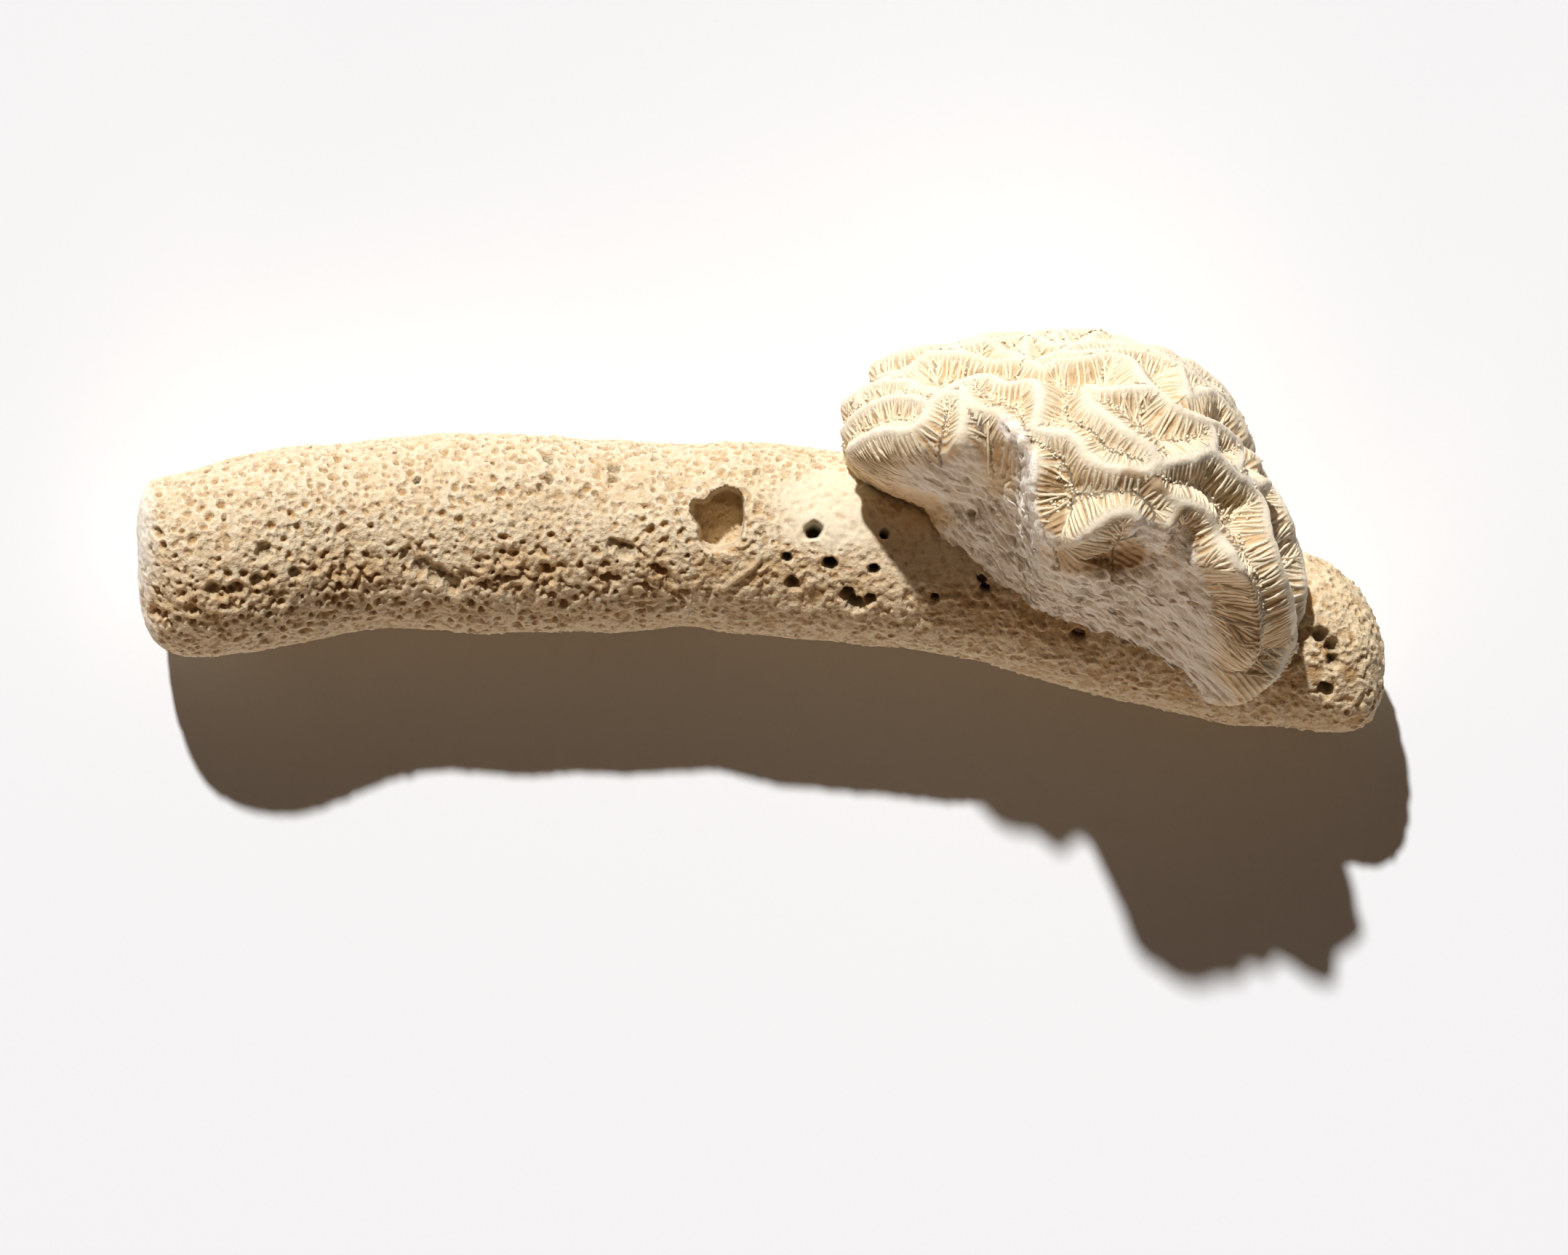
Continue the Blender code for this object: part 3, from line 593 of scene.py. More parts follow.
def pore_field(points, spacing, radius, seed, rim):
    """How deep each point lies in an uneven net of round pores, from 0 outside to 1 in the middle."""
    home = np.floor(points / spacing).astype(np.int64)
    nearest = np.full(len(points), 9.0)
    for step in NEIGHBOURS:
        cell = home + step
        random_part = scatter(cell, seed)
        centre = (cell + random_part[:, :3]) * spacing
        size = radius * (0.65 + 0.7 * random_part[:, 3])
        nearest = np.minimum(nearest, np.linalg.norm(points - centre, axis=1) / size)
    return 1 - smooth_step(rim, 1.0, nearest)


def point_tree(points):
    tree = kdtree.KDTree(len(points))
    for i, p in enumerate(points):
        tree.insert(p, i)
    tree.balance()
    return tree


def vertex_array(mesh, what="co"):
    values = np.empty(len(mesh.vertices) * 3, np.float32)
    mesh.vertices.foreach_get(what, values)
    return values.reshape(-1, 3).astype(float)


def set_vertices(mesh, points):
    mesh.vertices.foreach_set("co", points.astype(np.float32).ravel())
    mesh.update()


def set_attributes(mesh, attributes):
    for name, values in attributes.items():
        layer = mesh.attributes.new(name, "FLOAT", "POINT")
        layer.data.foreach_set("value", values.astype(np.float32))


def mesh_from(builder, name):
    bm = bmesh.new()
    builder(bm)
    mesh = bpy.data.meshes.new(name)
    bm.to_mesh(mesh)
    bm.free()
    return mesh


def add_piece(name, mesh, material, node=None):
    mesh.materials.clear()
    mesh.materials.append(material)
    mesh.shade_smooth()
    piece = bpy.data.objects.new(name, mesh)
    bpy.context.scene.collection.objects.link(piece)
    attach(piece, "root")
    if node:
        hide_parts(node)


def into_metres(mesh):
    mesh.transform(((MM, 0, 0, 0), (0, MM, 0, 0), (0, 0, MM, 0), (0, 0, 0, 1)))


# Branch
def section_at(x):
    """(y, z, half width, half height) of the branch at each x."""
    table = np.array(BRANCH_SECTIONS, float)
    path = rounded_path([row[:3] for row in table], 1.0)
    sizes = rounded_path([(row[0], row[3], row[4]) for row in table], 1.0)
    return (
        np.interp(x, path[:, 0], path[:, 1]),
        np.interp(x, path[:, 0], path[:, 2]),
        np.interp(x, sizes[:, 0], sizes[:, 1]),
        np.interp(x, sizes[:, 0], sizes[:, 2]),
    )


def broken_end(around):
    """(length, squareness) of the broken end on each side, where it is cut back most at its upper front."""
    cut = np.maximum(0, np.cos(around - BROKEN_END_CUT))
    return [plain + more * cut for plain, more in (BROKEN_END_LENGTHS, BROKEN_END_SQUARENESS)]


def end_cap(share, tip, length, squareness):
    """(x, size of the section) at a share of the way from the tip of an end to its rim."""
    angle = share * math.pi / 2
    reach = np.power(np.cos(angle), 2 / squareness)
    size = np.power(np.sin(angle), 2 / squareness)
    return tip + length - length * reach, size


def branch_surface(along, around):
    """Points of the plain branch, from its shares along the profile and its angles around the axis."""
    left, right = BROKEN_END_SHARE, ROOT_END_SHARE
    length, squareness = broken_end(around)
    start = BROKEN_END_X + length
    x = start + (along - left) / (right - left) * (ROOT_END_X - ROOT_END_LENGTH - start)
    size = np.ones_like(along)
    broken, root = along < left, along > right
    x[broken], size[broken] = end_cap(
        along[broken] / left, BROKEN_END_X, length[broken], squareness[broken]
    )
    x[root], size[root] = end_cap(
        (1 - along[root]) / (1 - right), ROOT_END_X, -ROOT_END_LENGTH, ROOT_END_SQUARENESS
    )
    y, z, half_width, half_height = section_at(x)
    across = y + half_width * size * np.cos(around)
    up = z + half_height * size * np.sin(around)
    return np.stack((x, across, up), axis=1)


def branch_normals(along, around):
    """Outward unit directions of the plain branch."""
    step = 0.0004
    near = np.clip(along, 2 * step, 1 - 2 * step)
    run = branch_surface(near + step, around) - branch_surface(near - step, around)
    turn = branch_surface(near, around + step) - branch_surface(near, around - step)
    return unit(np.cross(turn, run))


def seen_on_top(x, y, height):
    """The true place of what shows at (x, y) from above and stands at that height."""
    eye_x, eye_y, eye_z = SEEN_FROM
    share = (eye_z - height) / (eye_z - SEEN_AT)
    return eye_x + (x - eye_x) * share, eye_y + (y - eye_y) * share


def top_of_branch(x, y):
    """The point of the branch's upper side that shows at (x, y) from above."""
    centre_y, centre_z, half_width, half_height = (float(v[0]) for v in section_at(np.array([float(x)])))
    height = centre_z + half_height
    for _ in range(3):
        true_x, true_y = seen_on_top(x, y, height)
        share = min(1.0, abs(true_y - centre_y) / half_width)
        height = centre_z + half_height * math.sqrt(1 - share * share)
    return Vector((true_x, true_y, height))


def distance_to_path(points, path):
    """Each point's distance to the nearest point of a densely marked path."""
    tree = point_tree(path)
    return np.array([tree.find(p)[2] for p in points])


def inside_outline(x, y, outline):
    """True where (x, y) lies inside a closed outline."""
    inside = np.zeros(len(x), bool)
    for (ax, ay), (bx, by) in zip(outline, np.roll(outline, -1, axis=0)):
        crosses = (ay > y) != (by > y)
        with np.errstate(divide="ignore", invalid="ignore"):
            edge = (bx - ax) * (y - ay) / (by - ay) + ax
        inside ^= crosses & (x < edge)
    return inside


def star_pit_share(points):
    """How far each point on top of the branch is inside the blunt-pointed pit, from 0 to 1."""
    share = np.zeros(len(points))
    near = (np.abs(points[:, :2] - STAR_PIT_CENTRE) < STAR_PIT_REACH).all(axis=1)
    near &= points[:, 2] > STAR_PIT_LOWEST
    if not near.any():
        return share
    flat = points[near] * (1, 1, 0)
    outline = np.array([seen_on_top(x, y, BRANCH_TOP) for x, y in STAR_PIT])
    loop = rounded_path([(*p, 0) for p in (*outline, outline[0])], 0.2)
    distance = distance_to_path(flat, loop)
    inside = inside_outline(flat[:, 0], flat[:, 1], loop[:, :2])
    wall = STAR_PIT_WALL + STAR_PIT_SLOPE * (1 - smooth_step(*STAR_PIT_SLOPE_FROM_TO, flat[:, 1]))
    share[near] = smooth_step(-0.1, 1.0, np.where(inside, distance, -distance) / wall)
    return share


def bore_shares(points):
    """(depth in millimetres, darkness of the painted shade) of the bored holes at each point."""
    tree = point_tree(points)
    depth, dark = np.zeros(len(points)), np.zeros(len(points))
    oval, ragged = BORE_WOBBLES
    for x, y, radius, hole_depth, hole_shade_share in BORES:
        centre = top_of_branch(x, y)
        for place, i, distance in tree.find_range(centre, radius * BORE_REACH):
            turn = math.atan2(place.y - centre.y, place.x - centre.x)
            wobble = 1 + oval * math.sin(2 * turn + x) + ragged * math.sin(5 * turn + y)
            share = 1 - float(smooth_step(*BORE_EDGE, distance / (radius * wobble)))
            depth[i] = max(depth[i], hole_depth * share)
            dark[i] = max(dark[i], hole_shade_share * share)
    return depth, dark


def ellipse_share(points, centre, radii, edge):
    """1 well inside an ellipse seen from above and 0 well outside it."""
    reach = np.hypot((points[:, 0] - centre[0]) / radii[0], (points[:, 1] - centre[1]) / radii[1])
    return 1 - smooth_step(1 - edge, 1 + edge, reach)


def pore_places(spacing, seed):
    """Points at least that far apart all over the plain branch, and a random number for each."""
    numbers = np.random.default_rng(seed)
    count = int(PORE_TRIES / spacing**2)
    along, around = numbers.uniform(*PORES_ALONG, count), numbers.uniform(-math.pi, math.pi, count)
    taken, kept = {}, []
    for place in branch_surface(along, around).tolist():
        home = tuple(int(v // spacing) for v in place)
        cells = [tuple(h + s for h, s in zip(home, step)) for step in NEIGHBOURS]
        if all(math.dist(place, other) > spacing for cell in cells for other in taken.get(cell, ())):
            taken.setdefault(home, []).append(place)
            kept.append(place)
    return np.array(kept), numbers.uniform(0, 1, len(kept))


def ridged_noise(points, size, seed):
    """Noise that stands up in narrow ridges, from -1 between them to 1 on top."""
    return 1 - 4 * np.abs(noise_at(points, size, seed))


def branch_areas(points, ragged, coarse):
    """How far each point belongs to each kind of the branch's surface, from 0 to 1."""
    x, y, z = points.T
    top = smooth_step(*TOP_FROM_TO, z)
    shifted = points + 1.5 * np.stack((ragged, coarse, 0 * x), 1)
    knob = smooth_step(*KNOB_FROM_TO, x)
    band = np.exp(-(((y - section_at(x)[0] + BAND_SIDE) / BAND_WIDTH) ** 2))
    return (
        top,
        ellipse_share(shifted, *PLASTER) * top,
        ellipse_share(shifted, *SMOOTH_PATCH) * top,
        star_pit_share(points),
        ellipse_share(points, *PIT_BORDER) * top,
        knob,
        1 - smooth_step(*CLEAN_END_FROM_TO, x + 0.8 * ragged),
        band * smooth_step(*BAND_FROM_TO, z) * (1 - knob),
        (1 - smooth_step(*LOW_SIDE_FROM_TO, z)) * (1 - smooth_step(*LOW_SIDE_FADE, x)),
    )


class BranchRelief:
    """Everything that is cut into or stands on the plain branch."""

    def __init__(self, looks):
        self.width, self.depth = looks.pore_width / MM, looks.pore_depth / MM
        self.pores, self.luck = pore_places(looks.pore_spacing / MM, PORE_SEED)
        self.tree = point_tree(self.pores)
        self.tube, self.crack = (
            rounded_path([(*seen_on_top(*point, BRANCH_TOP), 0) for point in path], 0.1)
            for path in (TUBE, CRACK)
        )

    def small_pores(self, points, fine):
        """(how far in its pore each point is, how far on the pore's rim, the pore's own random number)."""
        found = [self.tree.find(p) for p in points]
        luck = self.luck[[hit[1] for hit in found]]
        away = np.array([hit[2] for hit in found]) * (1 + 0.3 * fine)
        size = self.width / 2 * (0.42 + 0.75 * luck**2)
        rim = np.exp(-(((away / size - PORE_RIM) / PORE_RIM_WIDTH) ** 2))
        return 1 - smooth_step(*PORE_EDGE, away / size), rim, luck

    def shape(self, points, normals):
        """(moved points, their attributes) for points of the plain branch."""
        for seed, (size, height) in enumerate(BRANCH_LUMPS):
            points = points + normals * (height * noise_at(points, size, seed))[:, None]
        ragged, coarse, fine, grain = (noise_at(points, *noise) for noise in (RAGGED, COARSE, FINE, GRAIN))
        worms = ridged_noise(points, *WORMS)
        top, plaster, smooth, pit, border, knob, end, band, low_side = branch_areas(points, ragged, coarse)
        eroded = band * smooth_step(-0.25, 0.3, coarse)
        open_share = (1 - 0.72 * plaster) * (1 - 0.8 * smooth) * (1 - pit)
        open_share *= (1 - 0.2 * low_side) * (1 - 0.85 * end)

        pore, rim, luck = self.small_pores(points + 0.3 * np.stack((grain, fine, ragged), 1), fine)
        jitter = np.stack((fine, ragged, fine), 1)
        big = pore_field(points, *BIG_PORES)
        caverns = pore_field(points + 0.4 * jitter, *CAVERNS) * knob
        spongy = pore_field(points + 0.3 * jitter, *SPONGY_PORES)
        spongy *= smooth_step(*SPONGY_FROM_TO, points[:, 0]) * (1 - knob) * open_share
        bored, dark = bore_shares(points)

        rough = (1 - 0.7 * plaster) * (1 - 0.7 * smooth) * (1 - 0.6 * pit) * (1 - 0.7 * end)
        relief = (0.13 * grain + 0.12 * fine) * (1 + 0.6 * eroded + 0.2 * knob - 0.5 * low_side)
        relief -= 0.34 * smooth_step(0.12, 0.5, grain - 0.5 * fine) * (1 + eroded)
        relief += worms * (0.05 + 0.20 * eroded + 0.06 * knob + 0.05 * band)
        relief *= rough
        rise = 0.08 * rim * open_share * (1 - eroded) + 0.10 * ragged + relief
        rise += 0.22 * border * (1 - pit) + 0.12 * plaster

        sunk = self.depth * (0.5 + 0.7 * luck) * pore * open_share
        worn_pores = BIG_PORE_DEPTH * big * eroded * open_share
        for deeper in (worn_pores, SPONGY_DEPTH * spongy, CAVERN_DEPTH * caverns):
            sunk = np.maximum(sunk, deeper)
        sunk += 0.65 * eroded * smooth_step(-0.1, 0.6, ragged) + 0.3 * knob * coarse
        flat = points * (1, 1, 0)
        sunk += CRACK_DEPTH * (1 - smooth_step(*CRACK_EDGE, distance_to_path(flat, self.crack))) * top
        rise -= sunk
        on_tube = (1 - smooth_step(0.1, TUBE_RADIUS, distance_to_path(flat, self.tube))) * top
        if on_tube.any():
            rise = np.maximum(rise, TUBE_RISE * on_tube + TUBE_HALF_FLOOR)
        rise = np.minimum(rise, np.where(bored > 0.02, 0.6 * relief - bored, 9.0))
        points = points + normals * rise[:, None]
        points[:, 2] += np.where(pit > 0, pit * (STAR_PIT_FLOOR - points[:, 2] + 0.5 * ragged), 0)

        # Along the band on the branch's front, where the lit top turns to shade, the pores' colour comes in
        # as well: partly the coral's own eroded ochre, partly painted shade
        worn = np.maximum(0.3 * band + (0.3 + 0.4 * big) * eroded, caverns + 0.8 * spongy)
        attributes = {
            "pore": np.clip(np.maximum(pore * open_share, worn), 0, 1),
            "rim": np.clip(rim * open_share, 0, 1),
            # shade painted inside the bored holes
            "dark": dark,
            "pale": np.clip(plaster + 0.35 * smooth + 0.5 * on_tube, 0, 1),
            "pit": pit,
            "end": end,
            # shade painted where the fine relief sinks
            "low": np.clip(-relief / 0.3, 0, 1),
        }
        return points, attributes


def make_branch_mesh(relief, name, broken_half):
    """One half of the branch, closed by a flat disc where the halves meet."""
    sizes = {"u_segments": BRANCH_SIDES, "v_segments": BRANCH_RINGS, "radius": 1}
    mesh = mesh_from(lambda bm: bmesh.ops.create_uvsphere(bm, **sizes), name)
    ball = vertex_array(mesh)
    ring = np.round((1 - np.arccos(np.clip(ball[:, 2], -1, 1)) / math.pi) * BRANCH_RINGS)
    around = np.arctan2(ball[:, 1], ball[:, 0])
    around += TOP_DENSITY * np.cos(around)
    last = BRANCH_RINGS - 1
    if broken_half:
        along = np.minimum(ring / last, 1) * BRANCH_JOINT
        hub, rim = ring == BRANCH_RINGS, ring == last
    else:
        along = BRANCH_JOINT + np.maximum(ring - 1, 0) / last * (1 - BRANCH_JOINT)
        hub, rim = ring == 0, ring == 1
    points, attributes = relief.shape(branch_surface(along, around), branch_normals(along, around))
    points[hub] = points[rim].mean(axis=0)
    set_vertices(mesh, inside_box(points))
    set_attributes(mesh, attributes)
    sharp = mesh.attributes.new("sharp_edge", "BOOLEAN", "EDGE")
    sharp.data.foreach_set("value", rim[edge_ends(mesh)].all(axis=1))
    into_metres(mesh)
    return mesh


def edge_ends(mesh):
    """The two vertices of every edge."""
    ends = np.empty(len(mesh.edges) * 2, np.int32)
    mesh.edges.foreach_get("vertices", ends)
    return ends.reshape(-1, 2)


def inside_box(points):
    """The points, moved in by a hair where they reach outside the solids' own box or into the floor."""
    low, high = np.array(CAD_BOX) / MM
    return np.clip(points, low + BOX_MARGIN, high - BOX_MARGIN)


def branch_finish(looks):
    finish = Finish("worn pitted coral", 0.85, GLOW)
    pore, rim, dark, pale = finish.attributes("pore", "rim", "dark", "pale")
    pit, end, low = finish.attributes("pit", "end", "low")
    where = finish.node("ShaderNodeSeparateXYZ", None, {0: finish.place()})
    x, z = Number(finish, where.outputs[0]), Number(finish, where.outputs[2])
    patches = finish.grain(11, 3.0).between(0.42, 0.62)
    specks = finish.grain(2.2).between(0.45, 0.7)
    grit = finish.grain(0.8).between(0.5, 0.68)
    small = finish.pits(1.1)
    tiny_pits = (1 - small.between(0.12, 0.45)) * (1 - pale * 0.7) * (1 - pit * 0.8)

    ground = finish.layered(
        looks.worn_colour,
        (patches * 0.5, WORN_PATCH),
        (specks * 0.35, WORN_SPECK),
        (grit * 0.5, WORN_GRIT),
        # ochre shade painted where the fine relief sinks
        (low * 0.7, LOW_PLACE_SHADE),
        (x.between(0.064, 0.074) * 0.5, KNOB_BROWN),
        (rim * 0.35, RAISED_RIM),
        # paler broken end: partly its own smoother surface, partly painted light
        (end * 0.9, PALE_END_AND_LIGHT),
        (pale * (0.65 + patches * 0.3), looks.pale_colour),
        (pit * 0.6, PIT_FLOOR),
        (pore * (1 - pit) * 0.85, looks.pore_colour),
        (tiny_pits * 0.35, looks.pore_colour),
        # near-black shade painted inside the bored holes
        (dark, HOLE_SHADE_COLOUR),
    )
    finish.colour(ground)
    high_or_root = z.between(0.006, 0.014).most(x.between(0.012, 0.028))
    rough = (1 - pale * 0.7) * (1 - end * 0.7) * (0.55 + high_or_root * 0.45)
    finish.bumps(
        (small.between(0.05, 0.5) * rough, 0.24 * MM),
        (finish.grain(0.9, 3.0, 0.7) * rough, 0.4 * MM),
        (finish.grain(0.4, 2.0, 0.65) * rough, 0.16 * MM),
    )
    return finish.material


# Colony
def soft_least(a, b, blend):
    share = np.clip(0.5 + 0.5 * (b - a) / blend, 0, 1)
    return b * (1 - share) + a * share - blend * share * (1 - share)


def soft_most(a, b, blend):
    return -soft_least(-a, -b, blend)


def outside_lobe(points, centre, radii, turn):
    """Roughly how far outside one lobe each point is."""
    c, s = math.cos(math.radians(turn)), math.sin(math.radians(turn))
    away = points - np.array(centre)
    local = np.stack((away[:, 0] * c + away[:, 1] * s, away[:, 1] * c - away[:, 0] * s, away[:, 2]), axis=1)
    scaled = np.linalg.norm(local / radii, axis=1)
    slope = np.linalg.norm(local / np.square(radii), axis=1)
    return scaled * (scaled - 1) / np.maximum(slope, 1e-9)


def outside_lobes(points):
    distance = outside_lobe(points, *LOBES[0])
    for lobe in LOBES[1:]:
        distance = soft_least(distance, outside_lobe(points, *lobe), LOBE_BLEND)
    return distance


def outside_front(points):
    """Roughly how far in front of the broken face, or below the edge on the branch, each point is."""
    table = np.array(FRONT, float)
    base = np.interp(points[:, 0], table[:, 0], table[:, 1])
    lean = np.interp(points[:, 0], table[:, 0], table[:, 2])
    face = (base + lean * (points[:, 2] - BRANCH_TOP) - points[:, 1]) / np.sqrt(1 + lean**2)
    y, z, _, _ = section_at(points[:, 0])
    foot = -((points[:, 2] - z) + FOOT_SLOPE * (points[:, 1] - y)) / math.hypot(1, FOOT_SLOPE)
    return soft_most(face, foot, EDGE_BLEND)


def seen_above(points):
    """Where points show in the view from above, as in the tables of crests."""
    eye = np.array(SEEN_FROM)
    return (eye + (points - eye) * ((eye[2] - SEEN_AT) / (eye[2] - points[:, 2]))[:, None])[:, :2]


def near_path(points, path, width):
    """1 near a path on the view from above, and 0 further than its width."""
    marked = rounded_path([(*point, 0) for point in path], CREST_STEP)
    seen = np.insert(seen_above(points), 2, 0.0, axis=1)
    return 1 - smooth_step(0.7 * width, 1.2 * width, distance_to_path(seen, marked))


def near_any(points, places):
    """1 near any of the paths on the view from above."""
    return np.max([near_path(points, path, width) for path, width in places], axis=0)


def outside_cuts(points):
    """The broken front together with the two scooped hollows behind it."""
    distance = outside_front(points)
    for scoop in SCOOPS:
        distance = soft_most(distance, -outside_lobe(points, *scoop), SCOOP_BLEND)
    return distance


def valley_depth(points, distance, deepest):
    """How deep the surface lies below the crests, from its distance to the nearest one."""
    depth = deepest * smooth_step(WALL_TOP, WALL_BASE, distance)
    in_front = 1 - smooth_step(*SMOOTH_FRONT, points[:, 1])
    low = 1 - smooth_step(*SMOOTH_FRONT_HEIGHT, points[:, 2])
    return depth * smooth_step(*SMOOTH_FOOT, points[:, 2]) * (1 - in_front * low)


def surface_along(direction, outside):
    """The points where lines from the colony's heart leave a solid."""
    low, high = np.zeros(len(direction)), np.full(len(direction), REACH)
    for _ in range(HALVINGS):
        middle = (low + high) / 2
        beyond = outside(COLONY_HEART + direction * middle[:, None]) > 0
        high = np.where(beyond, middle, high)
        low = np.where(beyond, low, middle)
    return COLONY_HEART + direction * low[:, None]


def slope_of(outside, points):
    """Unit directions in which points leave the solid."""
    steps = np.eye(3) * 0.05
    return unit(np.stack([outside(points + step) - outside(points - step) for step in steps], axis=1))


def drape(start, end):
    """The first points on the lobes along lines from start to end, or the nearest ones beside them."""
    line = start[:, None, :] + (end - start)[:, None, :] * np.linspace(0, 1, LOOK_STEPS)[None, :, None]
    outside = outside_lobes(line.reshape(-1, 3)).reshape(line.shape[:2])
    nearest = outside.argmin(axis=1)
    first = (outside < 0).argmax(axis=1)
    hit = outside.min(axis=1) < 0
    seed = line[np.arange(len(line)), np.where(hit, first, nearest)]
    return np.where(hit[:, None], seed, surface_along(unit(seed - COLONY_HEART), outside_lobes))


def crest_lines():
    """Every crest as closely spaced points on the lobes."""
    lines = []
    eye = np.array(SEEN_FROM)
    for crest in TOP_CRESTS:
        seen = rounded_path([(*point, SEEN_AT) for point in crest], CREST_STEP)
        lines.append(drape(seen + (eye - seen) * LOOK_SHARE, seen))
    for crests, axis in ((BACK_CRESTS, 1), (END_CRESTS, 0)):
        for crest in crests:
            flat = rounded_path([(*point, 0) for point in crest], CREST_STEP)[:, :2]
            start, end = (np.insert(flat, axis, value, axis=1) for value in (FAR_SIDE, 0.0))
            lines.append(drape(start, end))
    return lines


class Crests:
    """The crests' points, with the way that each crest runs and the way that its wall stands there."""

    def __init__(self):
        self.lines = crest_lines()
        self.points = np.concatenate(self.lines)
        self.upright = slope_of(outside_lobes, self.points)
        steps = [np.linalg.norm(np.diff(line, axis=0, prepend=line[:1]), axis=1) for line in self.lines]
        self.run = np.concatenate([np.cumsum(step) for step in steps])
        self.way = unit(np.concatenate([np.gradient(line, axis=0) for line in self.lines]))
        self.tree = point_tree(self.points)

    def sideways(self, points):
        """(index of the nearest crest point, distance to it across the way the wall stands)."""
        index = np.array([self.tree.find(p)[1] for p in points])
        away, up = points - self.points[index], self.upright[index]
        away -= np.sum(away * up, axis=1)[:, None] * up
        return index, np.linalg.norm(away, axis=1)

    def run_at(self, points, index):
        """How far along its nearest crest each point is."""
        return self.run[index] + np.sum((points - self.points[index]) * self.way[index], axis=1)

    def marks(self, spacing):
        """(place, upright, tangent) every spacing along each crest."""
        first = 0
        for line in self.lines:
            run = self.run[first : first + len(line)]
            for place in range(1, int(run[-1] / spacing)):
                at = place * spacing
                i = int(np.clip(np.searchsorted(run, at), 3, len(line) - 4))
                up, tangent = Vector(self.upright[first + i]), Vector(self.way[first + i])
                tangent = (tangent - up * tangent.dot(up)).normalized()
                yield Vector(line[i]) + tangent * (at - run[i]), up, tangent
            first += len(line)


def fill_hollows(mesh, points, rounds):
    """The points, raised where they lie deeper than the average of their neighbours, and by how much."""
    start, outward = points, unit(points - COLONY_HEART)
    one, other = edge_ends(mesh).T
    count = np.bincount(one, minlength=len(points)) + np.bincount(other, minlength=len(points))
    for _ in range(rounds):
        sums = [
            np.bincount(one, points[other, i], len(points)) + np.bincount(other, points[one, i], len(points))
            for i in range(3)
        ]
        lift = np.sum((np.stack(sums, axis=1) / count[:, None] - points) * outward, axis=1)
        points = points + outward * np.where(lift > 0, lift, FILL_EASE * lift)[:, None]
    return points, np.sum((points - start) * outward, axis=1)


def ball_of_squares(bm):
    bmesh.ops.create_cube(bm, size=2)
    bmesh.ops.subdivide_edges(bm, edges=bm.edges[:], cuts=COLONY_CUTS, use_grid_fill=True)


def ridged_form(mesh, crests, deepest):
    """(points with crests and valleys, nearest crest points, distances to them, depths below the lobes)."""
    direction = unit(np.tan(vertex_array(mesh) * math.pi / 4))
    points = surface_along(direction, outside_lobes)
    for _ in range(3):
        index, distance = crests.sideways(points)
        depth = valley_depth(points, distance, deepest)
        wave = smooth_step(-0.1, 0.7, noise_at(points, CREST_WAVE, 24))
        depth += CREST_SINK * wave * (1 - smooth_step(WALL_TOP, WALL_BASE, distance))

        def outside(p, depth=depth):
            return soft_most(outside_lobes(p) + depth, outside_cuts(p), EDGE_BLEND)

        points = surface_along(direction, outside)
    return points, index, distance, depth


def broken_share(points, depth):
    """How far each point belongs to the broken front, from 0 to 1."""
    front = outside_front(points)
    start, full, fade, gone = BROKEN_FROM_TO
    broken = smooth_step(-0.9, 0.5, front - outside_lobes(points) - depth) * smooth_step(-2.2, -1.0, front)
    return broken * (smooth_step(start, full, points[:, 0]) * (1 - smooth_step(fade, gone, points[:, 0])))


def fibre_space(points):
    """Points squeezed so that noise read there looks like fibres running down the broken front."""
    along = np.array(FIBRE_WAY)
    return points + along * (points @ along * (FIBRE_STRETCH - 1))[:, None]


def make_colony_mesh(crests, looks):
    """(the colony's mesh, how broken each vertex is, how much it is on a valley floor)."""
    mesh = mesh_from(ball_of_squares, "colony_surface")
    points, index, distance, depth = ridged_form(mesh, crests, looks.wall_depth / MM)
    points, filled = fill_hollows(mesh, points, VALLEY_FILL)
    set_vertices(mesh, points)
    normals = vertex_array(mesh, "normal")

    broken = broken_share(points, depth)
    to_crest = np.linalg.norm(points - crests.points[index], axis=1)
    for path, width in KEPT_FLANKS:
        kept = near_path(points, path, width)
        broken *= 1 - kept
        distance = np.maximum(distance, 0.5 * to_crest * kept)
        distance = np.where(distance > FLANK_END, distance + (FLANK_END - distance) * kept, distance)
    broken = np.maximum(broken, near_any(points, BROKEN_PLACES))
    low = smooth_step(WALL_TOP, WALL_BASE, distance)
    run = crests.run_at(points, index)

    ragged, fine, lumpy = (noise_at(points, *noise) for noise in (FRONT_RAGGED, SKIN, LUMPS))
    fibres, sponge = ridged_noise(fibre_space(points), *FIBRES), ridged_noise(points, *SPONGE)
    cavities = pore_field(points, *CAVITIES)
    torn = 0.26 * fibres + 0.35 * ragged + 0.1 * sponge - 0.8 * cavities * smooth_step(-0.1, 0.4, ragged)
    grown = low**2 * (0.2 * sponge + 0.15 * ragged) + 0.1 * fine + 0.12 * lumpy
    points += normals * (broken * torn + (1 - broken) * grown)[:, None]
    set_vertices(mesh, inside_box(points))
    attributes = {
        "broken": broken,
        "beside": distance,
        "run": run / (looks.septum_spacing / MM),
        "cavity": np.clip(cavities * broken, 0, 1),
        # shade painted under overhangs and in deep grooves
        "deep": near_any(points, DEEP_SHADE_PLACES) * (1 - broken),
    }
    set_attributes(mesh, attributes)
    return mesh, broken, np.maximum(smooth_step(2.8, 4.4, distance), smooth_step(0.12, 0.4, filled))


